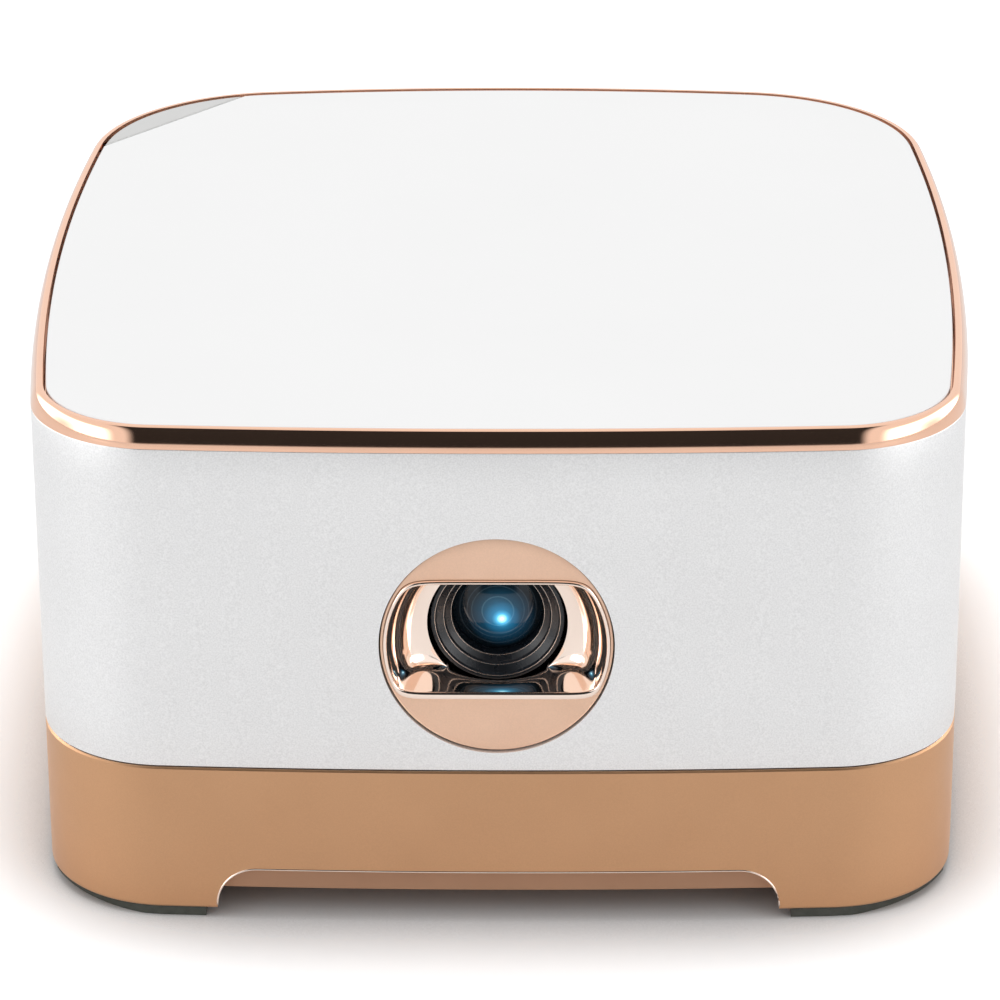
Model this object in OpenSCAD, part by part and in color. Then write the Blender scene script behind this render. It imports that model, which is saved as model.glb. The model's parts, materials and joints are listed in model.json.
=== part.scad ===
// Home projector: a squarish desktop projector with a round lens window,
// built as separate pieces. Millimetres, +Z up, front towards -Y.
// The origin is on the table, under the middle of the plan.

/* [Overall] */
// Width of the case, side to side
body_w = 190; // [170:1:230]
// Depth of the case, front to rear
body_d = 206; // [178:1:236]
// Height from the table to the top of the trim
body_h = 104.5; // [98:0.5:130]
// Height of the seam between base and sleeve
seam_z = 33.2; // [31:0.1:36]

/* [Plan outline] */
// Radius of the two front corners
front_corner_r = 26; // [18:1:36]
// Radius of the two rear corners
rear_corner_r = 42; // [30:1:52]
// How far the front bows out
front_bulge = 3.8; // [2:0.1:8]
// How far the sides bow out
side_bulge = 7.5; // [3:0.1:10]
// How far the rear bows out
rear_bulge = 9; // [4:0.1:14]

/* [Shells] */
// Wall of the aluminium sleeve
sleeve_wall = 1.8; // [1.2:0.1:2.6]
// Wall of the base skirt
skirt_wall = 2; // [1.4:0.1:2.8]
// Height of the polished trim ring
trim_h = 4; // [3:0.1:6]
// Width of the trim seen from above
trim_w = 3; // [1.5:0.1:4]
// Thickness of the top glass
glass_t = 2.2; // [1.6:0.1:3]
// Thickness of the rubber feet
foot_h = 2; // [1.2:0.1:4]
// Gap under the bottom cover, from the table
floor_gap = 6; // [5:0.5:9]
// Thickness of the bottom cover
cover_t = 2; // [1.6:0.1:3]
// Width of the front notch
notch_w = 111; // [80:1:120]
// Height of the front notch, above the foot of the skirt
notch_h = 9; // [6:0.5:12]
// Corner radius of the front notch
notch_r = 8; // [3:0.5:8.5]

/* [Lens window] */
// Height of the optical axis
lens_z = 60; // [59:0.5:66]
// Diameter of the round lens window
bezel_d = 45; // [42:0.5:54]
// Radius of the pocket's curved ends
pocket_r = 21.2; // [19:0.1:21.4]
// Pocket edge above the optical axis
pocket_up = 13.1; // [11:0.1:15]
// Pocket edge below the optical axis
pocket_down = 9.8; // [9:0.1:12]
// Extra height of the lip along the pocket's lower edge
lip_drop = 0.9; // [0.4:0.1:1.4]
// Depth from the window's face to the lens
pocket_depth = 12; // [10:0.5:18]
// Radius of the front of the lens barrel
barrel_r = 13.1; // [12:0.1:13.4]

/* [Focus drive] */
// Module of the focus gears
gear_m = 0.8; // [0.8:0.1:0.9]
// Teeth on the focus ring
ring_teeth = 54; // [54:1:58]
// Teeth on the motor pinion
pinion_teeth = 18; // [17:1:20]
// Lens travel each way from rest
lens_travel = 1.5; // [0.8:0.1:1.8]

/* [Cooling and sound] */
// Side of each square fan
fan_size = 60; // [48:1:60]
// Thickness of each fan
fan_t = 15; // [12:1:16]
// Radius of the speaker opening
speaker_r = 19; // [15:0.5:22]
// Radius of each heat pipe
pipe_r = 3; // [2:0.25:3.5]

/* [Hidden] */
$fn = 48;

// Colours
white_metal = [0.93, 0.93, 0.93];
champagne = [0.78, 0.62, 0.49];
rose_gold = [0.88, 0.62, 0.48];
black_plastic = [0.08, 0.08, 0.09];
rubber_grey = [0.22, 0.23, 0.22];
board_green = [0.08, 0.3, 0.16];
steel = [0.7, 0.7, 0.72];
copper = [0.8, 0.45, 0.3];
lens_glass = [0.35, 0.45, 0.6];

// Clearances
slip = 0.2;        // between a loose part and its opening
running = 0.05;    // radial, between a shaft or tube and its bore
hair = 0.02;       // between faces that are pressed together

// Levels, from the table upwards
seam_gap = 0.4;
skirt_top = seam_z - seam_gap / 2;
sleeve_bottom = seam_z + seam_gap / 2;
sleeve_top = body_h - trim_h;
cover_top = floor_gap + cover_t;
deck_t = 2;
deck_bottom = skirt_top - deck_t / 2 + 0.7;
deck_top = deck_bottom + deck_t;
carrier_t = 2.5;
carrier_bottom = sleeve_top - carrier_t;
glass_top = body_h - 0.2;
glass_bottom = glass_top - glass_t;
ledge_top = glass_bottom - 0.1;
ledge_w = 3;
board_t = 1.6;
board_z = cover_top + 5;
board_top = board_z + board_t;

// Arcs of the plan outline
front_r = bow_radius(body_w / 2, front_bulge);
rear_r = bow_radius(body_w / 2, rear_bulge);
side_r = bow_radius(body_d / 2, side_bulge);
front_c = [0, front_r - body_d / 2];
rear_c = [0, body_d / 2 - rear_r];
side_c = [body_w / 2 - side_r, 0];
front_corner_c = meet(front_c, front_r - front_corner_r, side_c, side_r - front_corner_r, 1);
rear_corner_c = meet(rear_c, rear_r - rear_corner_r, side_c, side_r - rear_corner_r, -1);

// Screw posts, from the plan outline
front_post = front_corner_c + [10, 8];
rear_post = rear_corner_c + [6, 28];
side_post = [body_w / 2 - 11, 5];
post_r = 3.6;
pilot_r = 1.4;
screw_r = 1.35;
head_r = 2.9;

// Lens stack, along Y
bezel_face = -body_d / 2 + 0.8;
bezel_flange_front = -body_d / 2 + sleeve_wall + 0.3;
bezel_back = bezel_flange_front + 1.9;
lens_front = bezel_face + pocket_depth;
engine_front = lens_front + 49.2;
engine_top = lens_z + 16;
engine_floor = lens_z - 14;
mount_bore = barrel_r + 2;
mount_r = mount_bore + 1.9;
keep_r = mount_r + 1.6;
ring_mid = engine_front - 16;
ring_w = 9.4;
ring_bore = mount_r + 0.08;
groove_r = mount_r + 1.9;
pin_r = 1;
pin_tip_r = groove_r - 0.3;
collar_y = ring_mid + ring_w / 2 + 0.1;
plate_y = engine_front - 9.5;
mesh_angle = -20;
mesh_distance = gear_m * (ring_teeth + pinion_teeth) / 2 + 0.02;
pinion_c = mesh_distance * [cos(mesh_angle), sin(mesh_angle)];
shaft_r = 1;
motor_r = 7.5;

// Light engine
engine_wall = 2;
prism_side = 16;
engine_right = 22;
engine_left = -72;
prism_block_back = engine_front + 26;
led_block_back = engine_front + 34;
led_x = [-62.5, -45, -27.5];
cold_plate_y = led_block_back + board_t;
cold_plate_d = 12;
pipe_z = [lens_z - 10, lens_z, lens_z + 10];
pipe_bend = 8;
pipe_y = cold_plate_y + cold_plate_d / 2;
pipe_left_x = engine_left - 3;

// Fans and fins
fan_y = body_d / 2 - 58;
fan_x = fan_size / 2 + 2;
fan_z = deck_top + fan_size / 2;
fan_bore = fan_size / 2 - 1.4;
hub_r = 12.8;
fin_front = fan_y + fan_t + 2;
fin_depth = 20;
fin_t = 1;
fin_pitch = 3;
fin_count = floor((fan_size - 4) / fin_pitch);
fin_mid = fin_front + fin_depth / 2;

// Speakers
speaker_x = body_w / 2 - 7;
speaker_y = 78 - body_d / 2;
speaker_z = deck_top + 31;
baffle_w = 2 * speaker_r + 14;
baffle_h = 57;
basket_d = 8;
magnet_d = 5;
magnet_r = 13;

// Rear panels
grille_w = 96;
grille_bottom = seam_z + 11;
grille_top = sleeve_top - 9;
io_w = 104;
io_bottom = cover_top + 5;
io_top = skirt_top - 4.5;
ir_x = -38;
ir_z = grille_bottom + 6.5;

// Power key, the corner of the top at the left rear
key_angle = 140;
key_chord = rear_corner_r - 10.3;
key_stem_at = rear_corner_r - trim_w - 5.2;
key_t = 1.3;
key_gap = 0.35;
key_travel = 0.6;
key_switch_h = 1;

// Sockets along the rear, left to right as [centre, width, height]
dc_port = [-43, 9, 11];
lan_size = [-27, 16, 13.4];
hdmi_size = [-7, 15.2, 6.2];
usb_size = [11, 14.4, 7];
usb_two_x = 28;
audio_size = [42, 7, 6];

// ---- Functions -------------------------------------------------------

function bow_radius(half, rise) = (half * half + rise * rise) / (2 * rise);

// The point at distance rp from p and rq from q, on the side asked for
function meet(p, rp, q, rq, side) =
    let (d = norm(q - p), u = (q - p) / d,
         a = (rp * rp - rq * rq + d * d) / (2 * d), h = sqrt(rp * rp - a * a))
    p + a * u + side * h * [-u.y, u.x];

function angle_to(from, to) = atan2(to.y - from.y, to.x - from.x);

// Points along an arc, without its last one
function arc(c, r, a0, a1, n) = [for (i = [0:n - 1])
    let (a = a0 + (a1 - a0) * i / n) c + r * [cos(a), sin(a)]];

// The plan outline moved in by inset: five arcs a side, tangent to each other
function half_outline(inset) =
    let (f = angle_to(front_c, front_corner_c), s0 = angle_to(side_c, front_corner_c),
         s1 = angle_to(side_c, rear_corner_c), b = angle_to(rear_c, rear_corner_c))
    concat(arc(front_c, front_r - inset, -90, f, 6),
           arc(front_corner_c, front_corner_r - inset, f, s0, 10),
           arc(side_c, side_r - inset, s0, s1, 10),
           arc(rear_corner_c, rear_corner_r - inset, s1, b, 12),
           arc(rear_c, rear_r - inset, b, 90, 6));

function outline(inset) =
    let (right = half_outline(inset), n = len(right))
    concat(right, [[0, body_d / 2 - inset]],
           [for (i = [n - 1:-1:1]) [-right[i].x, right[i].y]]);

// Y of the rear wall at x, moved in by inset
function rear_y(x, inset) = rear_c.y + sqrt(pow(rear_r - inset, 2) - x * x);

function round_rect(w, h, r, n = 6) =
    [for (k = [0:3]) let (c = [(k == 0 || k == 3 ? 1 : -1) * (w / 2 - r),
                               (k < 2 ? 1 : -1) * (h / 2 - r)])
        for (i = [0:n]) c + r * [cos(90 * (k + i / n)), sin(90 * (k + i / n))]];

function involute(a) = tan(a) * 180 / PI - a;

// One gear's outline: each tooth climbs one flank and comes down the other
function gear_outline(teeth, m, pressure = 20, play = 0.12) =
    let (rp = m * teeth / 2, rb = rp * cos(pressure), ra = rp + 0.8 * m,
         rr = rp - 1.1 * m, steps = 4, low = max(rb, rr),
         half = 90 / teeth - play / (2 * rp) * 180 / PI + involute(pressure))
    [for (t = [0:teeth - 1]) let (mid = 360 * t / teeth)
        for (p = concat(
            [[rr, -half]],
            [for (j = [0:steps]) let (r = low + (ra - low) * j / steps)
                [r, -(half - involute(acos(rb / r)))]],
            [for (j = [steps:-1:0]) let (r = low + (ra - low) * j / steps)
                [r, half - involute(acos(rb / r))]],
            [[rr, half]])) p[0] * [cos(mid + p[1]), sin(mid + p[1])]];

// ---- Shared shapes ---------------------------------------------------

module plate(inset, z0, z1) {
    translate([0, 0, z0]) linear_extrude(z1 - z0) polygon(outline(inset));
}

module shell(outer, inner, z0, z1) {
    translate([0, 0, z0]) linear_extrude(z1 - z0) difference() {
        polygon(outline(outer));
        polygon(outline(inner));
    }
}

// A closed ring whose cross-section is a list of [inset, z]
module swept_ring(profile) {
    rings = [for (p = profile) [for (q = outline(p[0])) [q.x, q.y, p[1]]]];
    n = len(rings[0]);
    m = len(profile);
    polyhedron(
        points = [for (ring = rings) each ring],
        faces = [for (j = [0:m - 1], i = [0:n - 1])
            let (a = j * n + i, b = j * n + (i + 1) % n,
                 c = ((j + 1) % m) * n + (i + 1) % n, d = ((j + 1) % m) * n + i)
            [a, d, c, b]]);
}

// Local Z points to the front, and local Y points up
module facing_front(at) {
    translate(at) rotate([90, 0, 0]) children();
}

// Local Z points to the rear
module facing_rear(at) {
    translate(at) rotate([-90, 0, 0]) children();
}

module tube(r_out, r_in, h) {
    difference() {
        cylinder(r = r_out, h = h);
        translate([0, 0, -1]) cylinder(r = r_in, h = h + 2);
    }
}

// A slice of wall behind or in a rectangular window in the rear
module rear_slice(outer, inner, w, z0, z1, r) {
    intersection() {
        shell(outer, inner, z0 - 1, z1 + 1);
        facing_front([0, body_d, (z0 + z1) / 2])
            linear_extrude(body_d) polygon(round_rect(w, z1 - z0, r));
    }
}

module on_both_sides() {
    children();
    mirror([1, 0, 0]) children();
}

module at_posts(posts) {
    for (p = posts, s = [-1, 1]) translate([s * p.x, p.y, 0]) children();
}

// ---- Outer shells ----------------------------------------------------

// Everything beyond the straight seam across the left rear corner
module key_side(from) {
    translate([-rear_corner_c.x, rear_corner_c.y]) rotate(key_angle)
        translate([key_chord + from, -body_w / 2]) square(body_w);
}

module top_glass() {
    color("white") translate([0, 0, glass_bottom]) linear_extrude(glass_t) difference() {
        polygon(outline(trim_w + 0.1));
        key_side(0);
    }
}

module at_key_switch(z) {
    translate([-rear_corner_c.x, rear_corner_c.y, z]) rotate([0, 0, key_angle])
        translate([key_stem_at, 0, 0]) children();
}

module power_key() {
    stem_bottom = sleeve_top + key_switch_h + 0.3 + key_travel;
    color([0.85, 0.85, 0.85]) {
        translate([0, 0, glass_top - key_t]) linear_extrude(key_t) intersection() {
            polygon(outline(trim_w + 0.3));
            key_side(key_gap);
        }
        at_key_switch(stem_bottom)
            cylinder(r = 1.5, h = glass_top - key_t / 2 - stem_bottom);
    }
}

module trim_ring() {
    bead = 2;
    color(rose_gold) swept_ring(concat(
        [[0, sleeve_top]],
        [for (i = [0:5]) let (a = 90 * i / 5)
            [bead * (1 - cos(a)), body_h - bead + bead * sin(a)]],
        [[trim_w, body_h - 0.1], [trim_w, ledge_top],
         [trim_w + ledge_w, ledge_top], [trim_w + ledge_w, sleeve_top]]));
}

module side_slots() {
    slot_w = 1.6;
    slot_pitch = 4;
    slot_h = 30;
    count = floor(2 * (speaker_r + 3) / slot_pitch);
    on_both_sides() for (i = [0:count])
        translate([body_w / 2 - 14, speaker_y + (i - count / 2) * slot_pitch - slot_w / 2,
                   speaker_z - slot_h / 2])
            cube([20, slot_w, slot_h]);
}

module body_sleeve() {
    color(white_metal) difference() {
        shell(0, sleeve_wall, sleeve_bottom, sleeve_top);
        facing_front([0, bezel_back, lens_z]) cylinder(d = bezel_d + 0.5, h = 20);
        side_slots();
        facing_rear([0, body_d / 4, (grille_bottom + grille_top) / 2])
            linear_extrude(body_d) polygon(round_rect(grille_w, grille_top - grille_bottom, 8));
    }
}

module seam_gasket() {
    color(black_plastic) shell(0.6, skirt_wall, skirt_top, sleeve_bottom);
}

module base_skirt() {
    color(champagne) difference() {
        shell(0, skirt_wall, foot_h, skirt_top);
        facing_front([0, 0, foot_h]) linear_extrude(body_d)
            polygon(round_rect(notch_w, 2 * notch_h, notch_r));
        facing_rear([0, body_d / 4, (io_bottom + io_top) / 2])
            linear_extrude(body_d) polygon(round_rect(io_w, io_top - io_bottom, 3));
    }
}

// The plan of one foot: a rounded strip that follows the corner
module foot_plan(corner, radius, inset) {
    band = 9;
    centre = corner + [-7, corner.y < 0 ? 7 : -7];
    intersection() {
        polygon(outline(inset));
        difference() {
            translate(centre) circle(r = radius + 8);
            translate(centre) circle(r = radius + 8 - band);
            translate([centre.x - 200, -300]) square([200, 600]);
            translate([centre.x - 200, corner.y < 0 ? centre.y : centre.y - 600])
                square([600, 600]);
        }
    }
}

module feet(corner, radius) {
    color(rubber_grey) on_both_sides()
        linear_extrude(foot_h) foot_plan(corner, radius, 0.8);
}

module front_feet() {
    feet(front_corner_c, front_corner_r);
}

module rear_feet() {
    feet(rear_corner_c, rear_corner_r);
}

module bottom_cover() {
    rim_h = 4;
    boss_r = 14;
    vent_w = 3;
    vent_pitch = 6;
    vent_rows = 9;
    color(champagne) difference() {
        union() {
            plate(skirt_wall + 0.1, floor_gap, cover_top);
            shell(skirt_wall + 0.1, skirt_wall + 1.8, floor_gap, cover_top + rim_h);
            on_both_sides() translate([0, 0, foot_h]) linear_extrude(floor_gap - foot_h + 0.5) {
                foot_plan(front_corner_c, front_corner_r, skirt_wall + 0.1);
                foot_plan(rear_corner_c, rear_corner_r, skirt_wall + 0.1);
            }
            translate([0, 0, floor_gap - 3]) cylinder(r = boss_r, h = 3 + cover_t / 2);
            translate([0, 0, floor_gap]) cylinder(r = 8, h = 10);
            for (p = board_holes()) translate([p.x, p.y, cover_top - 0.5])
                cylinder(r = 3, h = board_z - cover_top + 0.5);
        }
        translate([0, 0, floor_gap - 4]) cylinder(r = insert_r, h = insert_h + 1);
        for (s = [-1, 1], side = [-1, 1], i = [0:vent_rows - 1])
            translate([side * (20 + vent_pitch * i) - vent_w / 2, s * 40 - 15, floor_gap - 1])
                cube([vent_w, 30, cover_t + 2]);
        at_posts([front_post, side_post, rear_post]) {
            translate([0, 0, floor_gap - 5]) cylinder(r = pilot_r + 0.3, h = 20);
            translate([0, 0, foot_h - 1]) cylinder(r = head_r + 0.3, h = floor_gap - foot_h + 2.2);
        }
        for (p = board_holes()) translate([p.x, p.y, cover_top])
            cylinder(r = 1.05, h = board_z);
    }
}

insert_r = 5.5;
insert_h = 11;
thread_r = 3.175;

module tripod_insert() {
    color("goldenrod") translate([0, 0, floor_gap - 3]) difference() {
        cylinder(r = insert_r, h = insert_h);
        translate([0, 0, -1]) cylinder(r = thread_r, h = insert_h - 0.5);
    }
}

// ---- Lens window -----------------------------------------------------

// The pocket's opening, grown by g all round: a circle cut by two flats
module pocket_plan(g) {
    corner = 4.5;
    offset(r = corner + g) offset(delta = -corner) intersection() {
        circle(r = pocket_r);
        translate([-pocket_r, -pocket_down]) square([2 * pocket_r, pocket_up + pocket_down]);
    }
}

// The rim that stands round the opening, deeper along the lower edge
module rim_plan(g) {
    pocket_plan(g);
    translate([0, -lip_drop]) pocket_plan(g);
}

module lens_bezel() {
    color(champagne) difference() {
        union() {
            facing_front([0, bezel_flange_front + 0.1, lens_z])
                cylinder(d = bezel_d, h = bezel_flange_front + 0.1 - bezel_face);
            facing_front([0, bezel_back, lens_z])
                cylinder(r = bezel_d / 2 + 2, h = bezel_back - bezel_flange_front);
        }
        facing_front([0, bezel_back + 1, lens_z]) linear_extrude(10) rim_plan(0.8);
    }
}

module pocket_hull(g) {
    mouth_r = barrel_r + 0.6;
    hull() {
        facing_front([0, bezel_back + 0.12, lens_z]) linear_extrude(0.1) pocket_plan(g, $fn = 32);
        facing_front([0, lens_front, lens_z]) cylinder(r = mouth_r + g, h = 0.1, $fn = 48);
    }
}

module lens_pocket() {
    lip = -body_d / 2;
    color(rose_gold) difference() {
        union() {
            facing_front([0, bezel_back + 0.1, lens_z])
                linear_extrude(bezel_back + 0.1 - lip) rim_plan(0.7);
            facing_front([0, bezel_back + 1.2, lens_z]) linear_extrude(1.2) rim_plan(2.5);
            pocket_hull(1.4);
        }
        pocket_hull(0);
        facing_front([0, bezel_back + 0.07, lens_z]) linear_extrude(20) pocket_plan(0);
        facing_front([0, lens_front + 1, lens_z]) cylinder(r = barrel_r + 0.6, h = 2);
    }
}

// ---- Rear panels and controls ----------------------------------------

module rear_grille() {
    slot_w = 2.2;
    slot_pitch = 4.4;
    slot_count = 19;
    slot_bottom = grille_bottom + 14;
    color(black_plastic) difference() {
        union() {
            rear_slice(0.5, sleeve_wall + 0.1, grille_w - 2 * slip, grille_bottom + slip,
                       grille_top - slip, 8 - slip);
            rear_slice(sleeve_wall + 0.1, sleeve_wall + 1.3, grille_w + 6, grille_bottom - 3,
                       grille_top + 3, 10);
        }
        for (i = [0:slot_count - 1])
            translate([(i - (slot_count - 1) / 2) * slot_pitch - slot_w / 2, body_d / 4, slot_bottom])
                cube([slot_w, body_d, grille_top - slot_bottom - 5]);
        facing_rear([ir_x, body_d / 4, ir_z]) linear_extrude(body_d)
            polygon(round_rect(12, 6, 2));
    }
}

module ir_window() {
    color([0.12, 0.05, 0.08]) intersection() {
        shell(0.6, sleeve_wall + 1.3, ir_z - 10, ir_z + 10);
        facing_rear([ir_x, body_d / 4, ir_z]) linear_extrude(body_d)
            polygon(round_rect(12 - hair * 2, 6 - hair * 2, 2));
    }
}

// Where a socket's face stands, just inside the curved plate
function socket_y(x, w) = rear_y(abs(x) + w / 2, skirt_wall + 1.4) - 0.1;

module io_cut(x, w, h, z) {
    translate([x - w / 2, body_d / 4, z - h / 2]) cube([w, body_d, h]);
}

module io_plate() {
    color(black_plastic) difference() {
        union() {
            rear_slice(0.5, skirt_wall + 0.1, io_w - 2 * slip, io_bottom + slip, io_top - slip, 3 - slip);
            rear_slice(skirt_wall + 0.1, skirt_wall + 1.3, io_w + 5, io_bottom - 0.4, io_top + 2.5, 4);
        }
        facing_rear([dc_port[0], body_d / 4, board_top + dc_port[2] / 2])
            cylinder(r = 3.4, h = body_d);
        io_cut(lan_size[0], 12.4, 8.4, board_top + 6.6);
        io_cut(hdmi_size[0], 14.4, 5, board_top + hdmi_size[2] / 2);
        for (x = [usb_size[0], usb_two_x])
            io_cut(x, 12.9, 5.6, board_top + usb_size[2] / 2);
        facing_rear([audio_size[0], body_d / 4, board_top + audio_size[2] / 2])
            cylinder(r = 2.6, h = body_d);
    }
}

// A box socket on the main board, with its mouth to the rear
module socket_box(x, w, h, depth) {
    translate([x - w / 2, socket_y(x, w) - depth, board_top + hair]) cube([w, depth, h]);
}

module dc_jack() {
    depth = 13;
    mouth = socket_y(dc_port[0], dc_port[1]);
    mid_z = board_top + dc_port[2] / 2;
    color(black_plastic) {
        difference() {
            socket_box(dc_port[0], dc_port[1], dc_port[2], depth);
            facing_rear([dc_port[0], mouth - 10, mid_z]) cylinder(r = 3.1, h = 20);
        }
        facing_rear([dc_port[0], mouth - 10.5, mid_z]) cylinder(r = 1, h = 9.5);
    }
}

module lan_port() {
    mouth = socket_y(lan_size[0], lan_size[1]);
    color(steel) difference() {
        socket_box(lan_size[0], lan_size[1], lan_size[2], 18);
        translate([lan_size[0] - 6, mouth - 13, board_top + 2.6]) cube([12, 20, 8]);
    }
}

// A thin metal shell with a contact tongue standing in it
module tongue_socket(x, w, h, depth, wall, tongue_w, tongue_t) {
    mouth = socket_y(x, w);
    difference() {
        socket_box(x, w, h, depth);
        translate([x - w / 2 + wall, mouth - depth + 2, board_top + wall])
            cube([w - 2 * wall, depth, h - 2 * wall]);
    }
    translate([x - tongue_w / 2, mouth - depth + 1, board_top + h / 2 - tongue_t / 2])
        cube([tongue_w, depth - 2.5, tongue_t]);
}

module hdmi_port() {
    color(steel) tongue_socket(hdmi_size[0], hdmi_size[1], hdmi_size[2], 12, 0.6, 11, 1);
}

module usb_ports() {
    color(steel) for (x = [usb_size[0], usb_two_x])
        tongue_socket(x, usb_size[1], usb_size[2], 14, 0.8, 10.5, 1.8);
}

jack_bore = 1.8;
jack_depth = 12;

module audio_jack() {
    mouth = socket_y(audio_size[0], audio_size[1]);
    color(black_plastic) difference() {
        socket_box(audio_size[0], audio_size[1], audio_size[2], jack_depth + 2);
        facing_rear([audio_size[0], mouth - jack_depth, board_top + audio_size[2] / 2])
            cylinder(r = jack_bore, h = jack_depth + 5);
    }
}

// ---- Frames and boards -----------------------------------------------

module mid_frame() {
    color([0.3, 0.3, 0.32]) difference() {
        union() {
            plate(max(sleeve_wall, skirt_wall) + 0.2, deck_bottom, deck_top);
            at_posts([front_post, side_post, rear_post])
                translate([0, 0, cover_top]) cylinder(r = post_r, h = deck_bottom - cover_top + 0.5);
            at_posts([front_post, rear_post])
                translate([0, 0, deck_top - 0.5]) cylinder(r = post_r, h = carrier_bottom - deck_top + 0.5);
        }
        at_posts([front_post, side_post, rear_post])
            translate([0, 0, cover_top - 1]) cylinder(r = pilot_r, h = 12);
        at_posts([front_post, rear_post])
            translate([0, 0, carrier_bottom - 12]) cylinder(r = pilot_r, h = 20);
        for (x = [-fan_x, fan_x])
            translate([x - 18, body_d / 2 - 96, deck_bottom - 1]) cube([36, 22, deck_t + 2]);
        translate([-13, engine_front + 30, deck_bottom - 1]) cube([26, 5, deck_t + 2]);
        facing_front([0, bezel_back + 0.5, lens_z]) cylinder(r = bezel_d / 2 + 2.3, h = 20);
        for (s = [-1, 1], y = [-78, -66]) translate([s * 34 - 16, y, deck_bottom - 1])
            cube([32, 6, deck_t + 2]);
    }
}

module top_carrier() {
    color([0.3, 0.3, 0.32]) difference() {
        plate(sleeve_wall + 0.2, carrier_bottom, sleeve_top);
        at_posts([front_post, rear_post]) {
            translate([0, 0, carrier_bottom - 1]) cylinder(r = pilot_r + 0.2, h = 10);
            translate([0, 0, sleeve_top - 1.5]) cylinder(r = head_r + 0.2, h = 10);
        }
    }
}

module touch_board() {
    color(board_green) translate([-30, 40, sleeve_top]) cube([60, 24, ledge_top - sleeve_top - 0.3]);
}

main_w = 120;
main_front = 12;
main_back = body_d / 2 - 11;
power_w = 104;
power_back = -12;
power_front = -body_d / 2 + 28;

function board_holes() = concat(
    [for (s = [-1, 1], y = [main_front + 5, main_back - 22]) [s * (main_w / 2 - 5), y]],
    [for (s = [-1, 1], y = [power_front + 5, power_back - 5]) [s * (power_w / 2 - 5), y]]);

module main_board() {
    color(board_green) difference() {
        translate([-main_w / 2, main_front, board_z]) cube([main_w, main_back - main_front, board_t]);
        at_posts([rear_post]) translate([0, 0, board_z - 1]) cylinder(r = post_r + 1, h = 5);
        for (p = board_holes()) translate([p.x, p.y, board_z - 1]) cylinder(r = 1.2, h = 5);
        for (s = [-1, 1]) translate([s * main_w / 2 - 6, main_back - 6, board_z - 1])
            cube([12, 12, 5]);
    }
}

module power_board() {
    color(board_green) difference() {
        translate([-power_w / 2, power_front, board_z]) cube([power_w, power_back - power_front, board_t]);
        for (p = board_holes()) translate([p.x, p.y, board_z - 1]) cylinder(r = 1.2, h = 5);
    }
}

module board_parts() {
    color([0.15, 0.15, 0.16]) {
        for (x = [-34, 14, 28, 42]) translate([x - 6, 26, board_top]) cube([12, 9, 1.2]);
        for (i = [0:3]) translate([-36 + 24 * i - 6, -62, board_top]) cube([12, 12, 7]);
        for (i = [0:5]) translate([-40 + 16 * i, -38, board_top]) cylinder(r = 4, h = 11);
        for (i = [0:2]) translate([-30 + 30 * i - 8, -28, board_top]) cube([16, 8, 4]);
        at_key_switch(sleeve_top) translate([-1.5, -2.5, 0]) cube([3, 5, key_switch_h]);
    }
}

module soc_heatsink() {
    fins = 9;
    color(steel) translate([-22, 40, board_top]) {
        cube([44, 34, 2.5]);
        for (i = [0:fins - 1]) translate([i * (43 / (fins - 1)), 0, 2.4]) cube([1, 34, 8]);
    }
}

// ---- Light engine ----------------------------------------------------

module engine_box(grow, z0, z1) {
    translate([engine_left - grow, engine_front - grow, z0])
        cube([2 * grow - 18 - engine_left, led_block_back - engine_front + 2 * grow, z1 - z0]);
    translate([-18 - grow - 1, engine_front - grow, z0])
        cube([engine_right + 19 + 2 * grow, prism_block_back - engine_front + 2 * grow, z1 - z0]);
}

module engine_housing() {
    leg_h = engine_floor - deck_top;
    floor_top = engine_floor + engine_wall;
    color([0.45, 0.45, 0.47]) difference() {
        union() {
            difference() {
                engine_box(0, engine_floor, engine_top);
                engine_box(-engine_wall, floor_top, engine_top + 1);
            }
            for (p = [[engine_left + 5, 5], [engine_left + 5, 29], [-23, 29], [17, 5], [17, 21]])
                translate([p[0], engine_front + p[1], deck_top]) cylinder(r = 3.5, h = leg_h + 1);
            translate([-7, engine_front + 5, floor_top - 0.5])
                cube([14, 14, lens_z - prism_side / 2 - floor_top + 0.5]);
            for (x = led_x) translate([x - 3, led_block_back - 8, floor_top - 0.5])
                cube([6, 4, lens_z - 6.5 - floor_top + 0.5]);
        }
        facing_front([0, engine_front + 4, lens_z]) cylinder(r = mount_bore + 0.4, h = 10);
        translate([-8.2, prism_block_back - 5, lens_z - 5.2]) cube([16.4, 10, 10.4]);
        for (x = led_x) translate([x - 4, led_block_back - 5, lens_z - 4]) cube([8, 10, 8]);
    }
}

module engine_lid() {
    color([0.5, 0.5, 0.52]) engine_box(0, engine_top, engine_top + 2);
}

module prism() {
    gap = 0.15;
    half = prism_side / 2;
    color(lens_glass) translate([0, engine_front + 12, lens_z - half]) linear_extrude(prism_side) {
        polygon([[-half, -half], [half - gap, -half], [-half, half - gap]]);
        polygon([[half, half], [half, -half + gap], [-half + gap, half]]);
    }
}

module dmd_board() {
    color(board_green) translate([-17, prism_block_back, lens_z - 13]) cube([34, board_t, 26]);
    color([0.2, 0.2, 0.22]) translate([-8, prism_block_back - 3, lens_z - 5]) cube([16, 3.2, 10]);
}

module dmd_heatsink() {
    fins = 7;
    back = prism_block_back + board_t;
    color(steel) {
        translate([-14, back, lens_z - 10]) cube([28, 2, 22]);
        for (i = [0:fins - 1]) translate([-14 + i * (27 / (fins - 1)), back + 1.9, lens_z - 10])
            cube([1, 8, 22]);
    }
}

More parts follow.
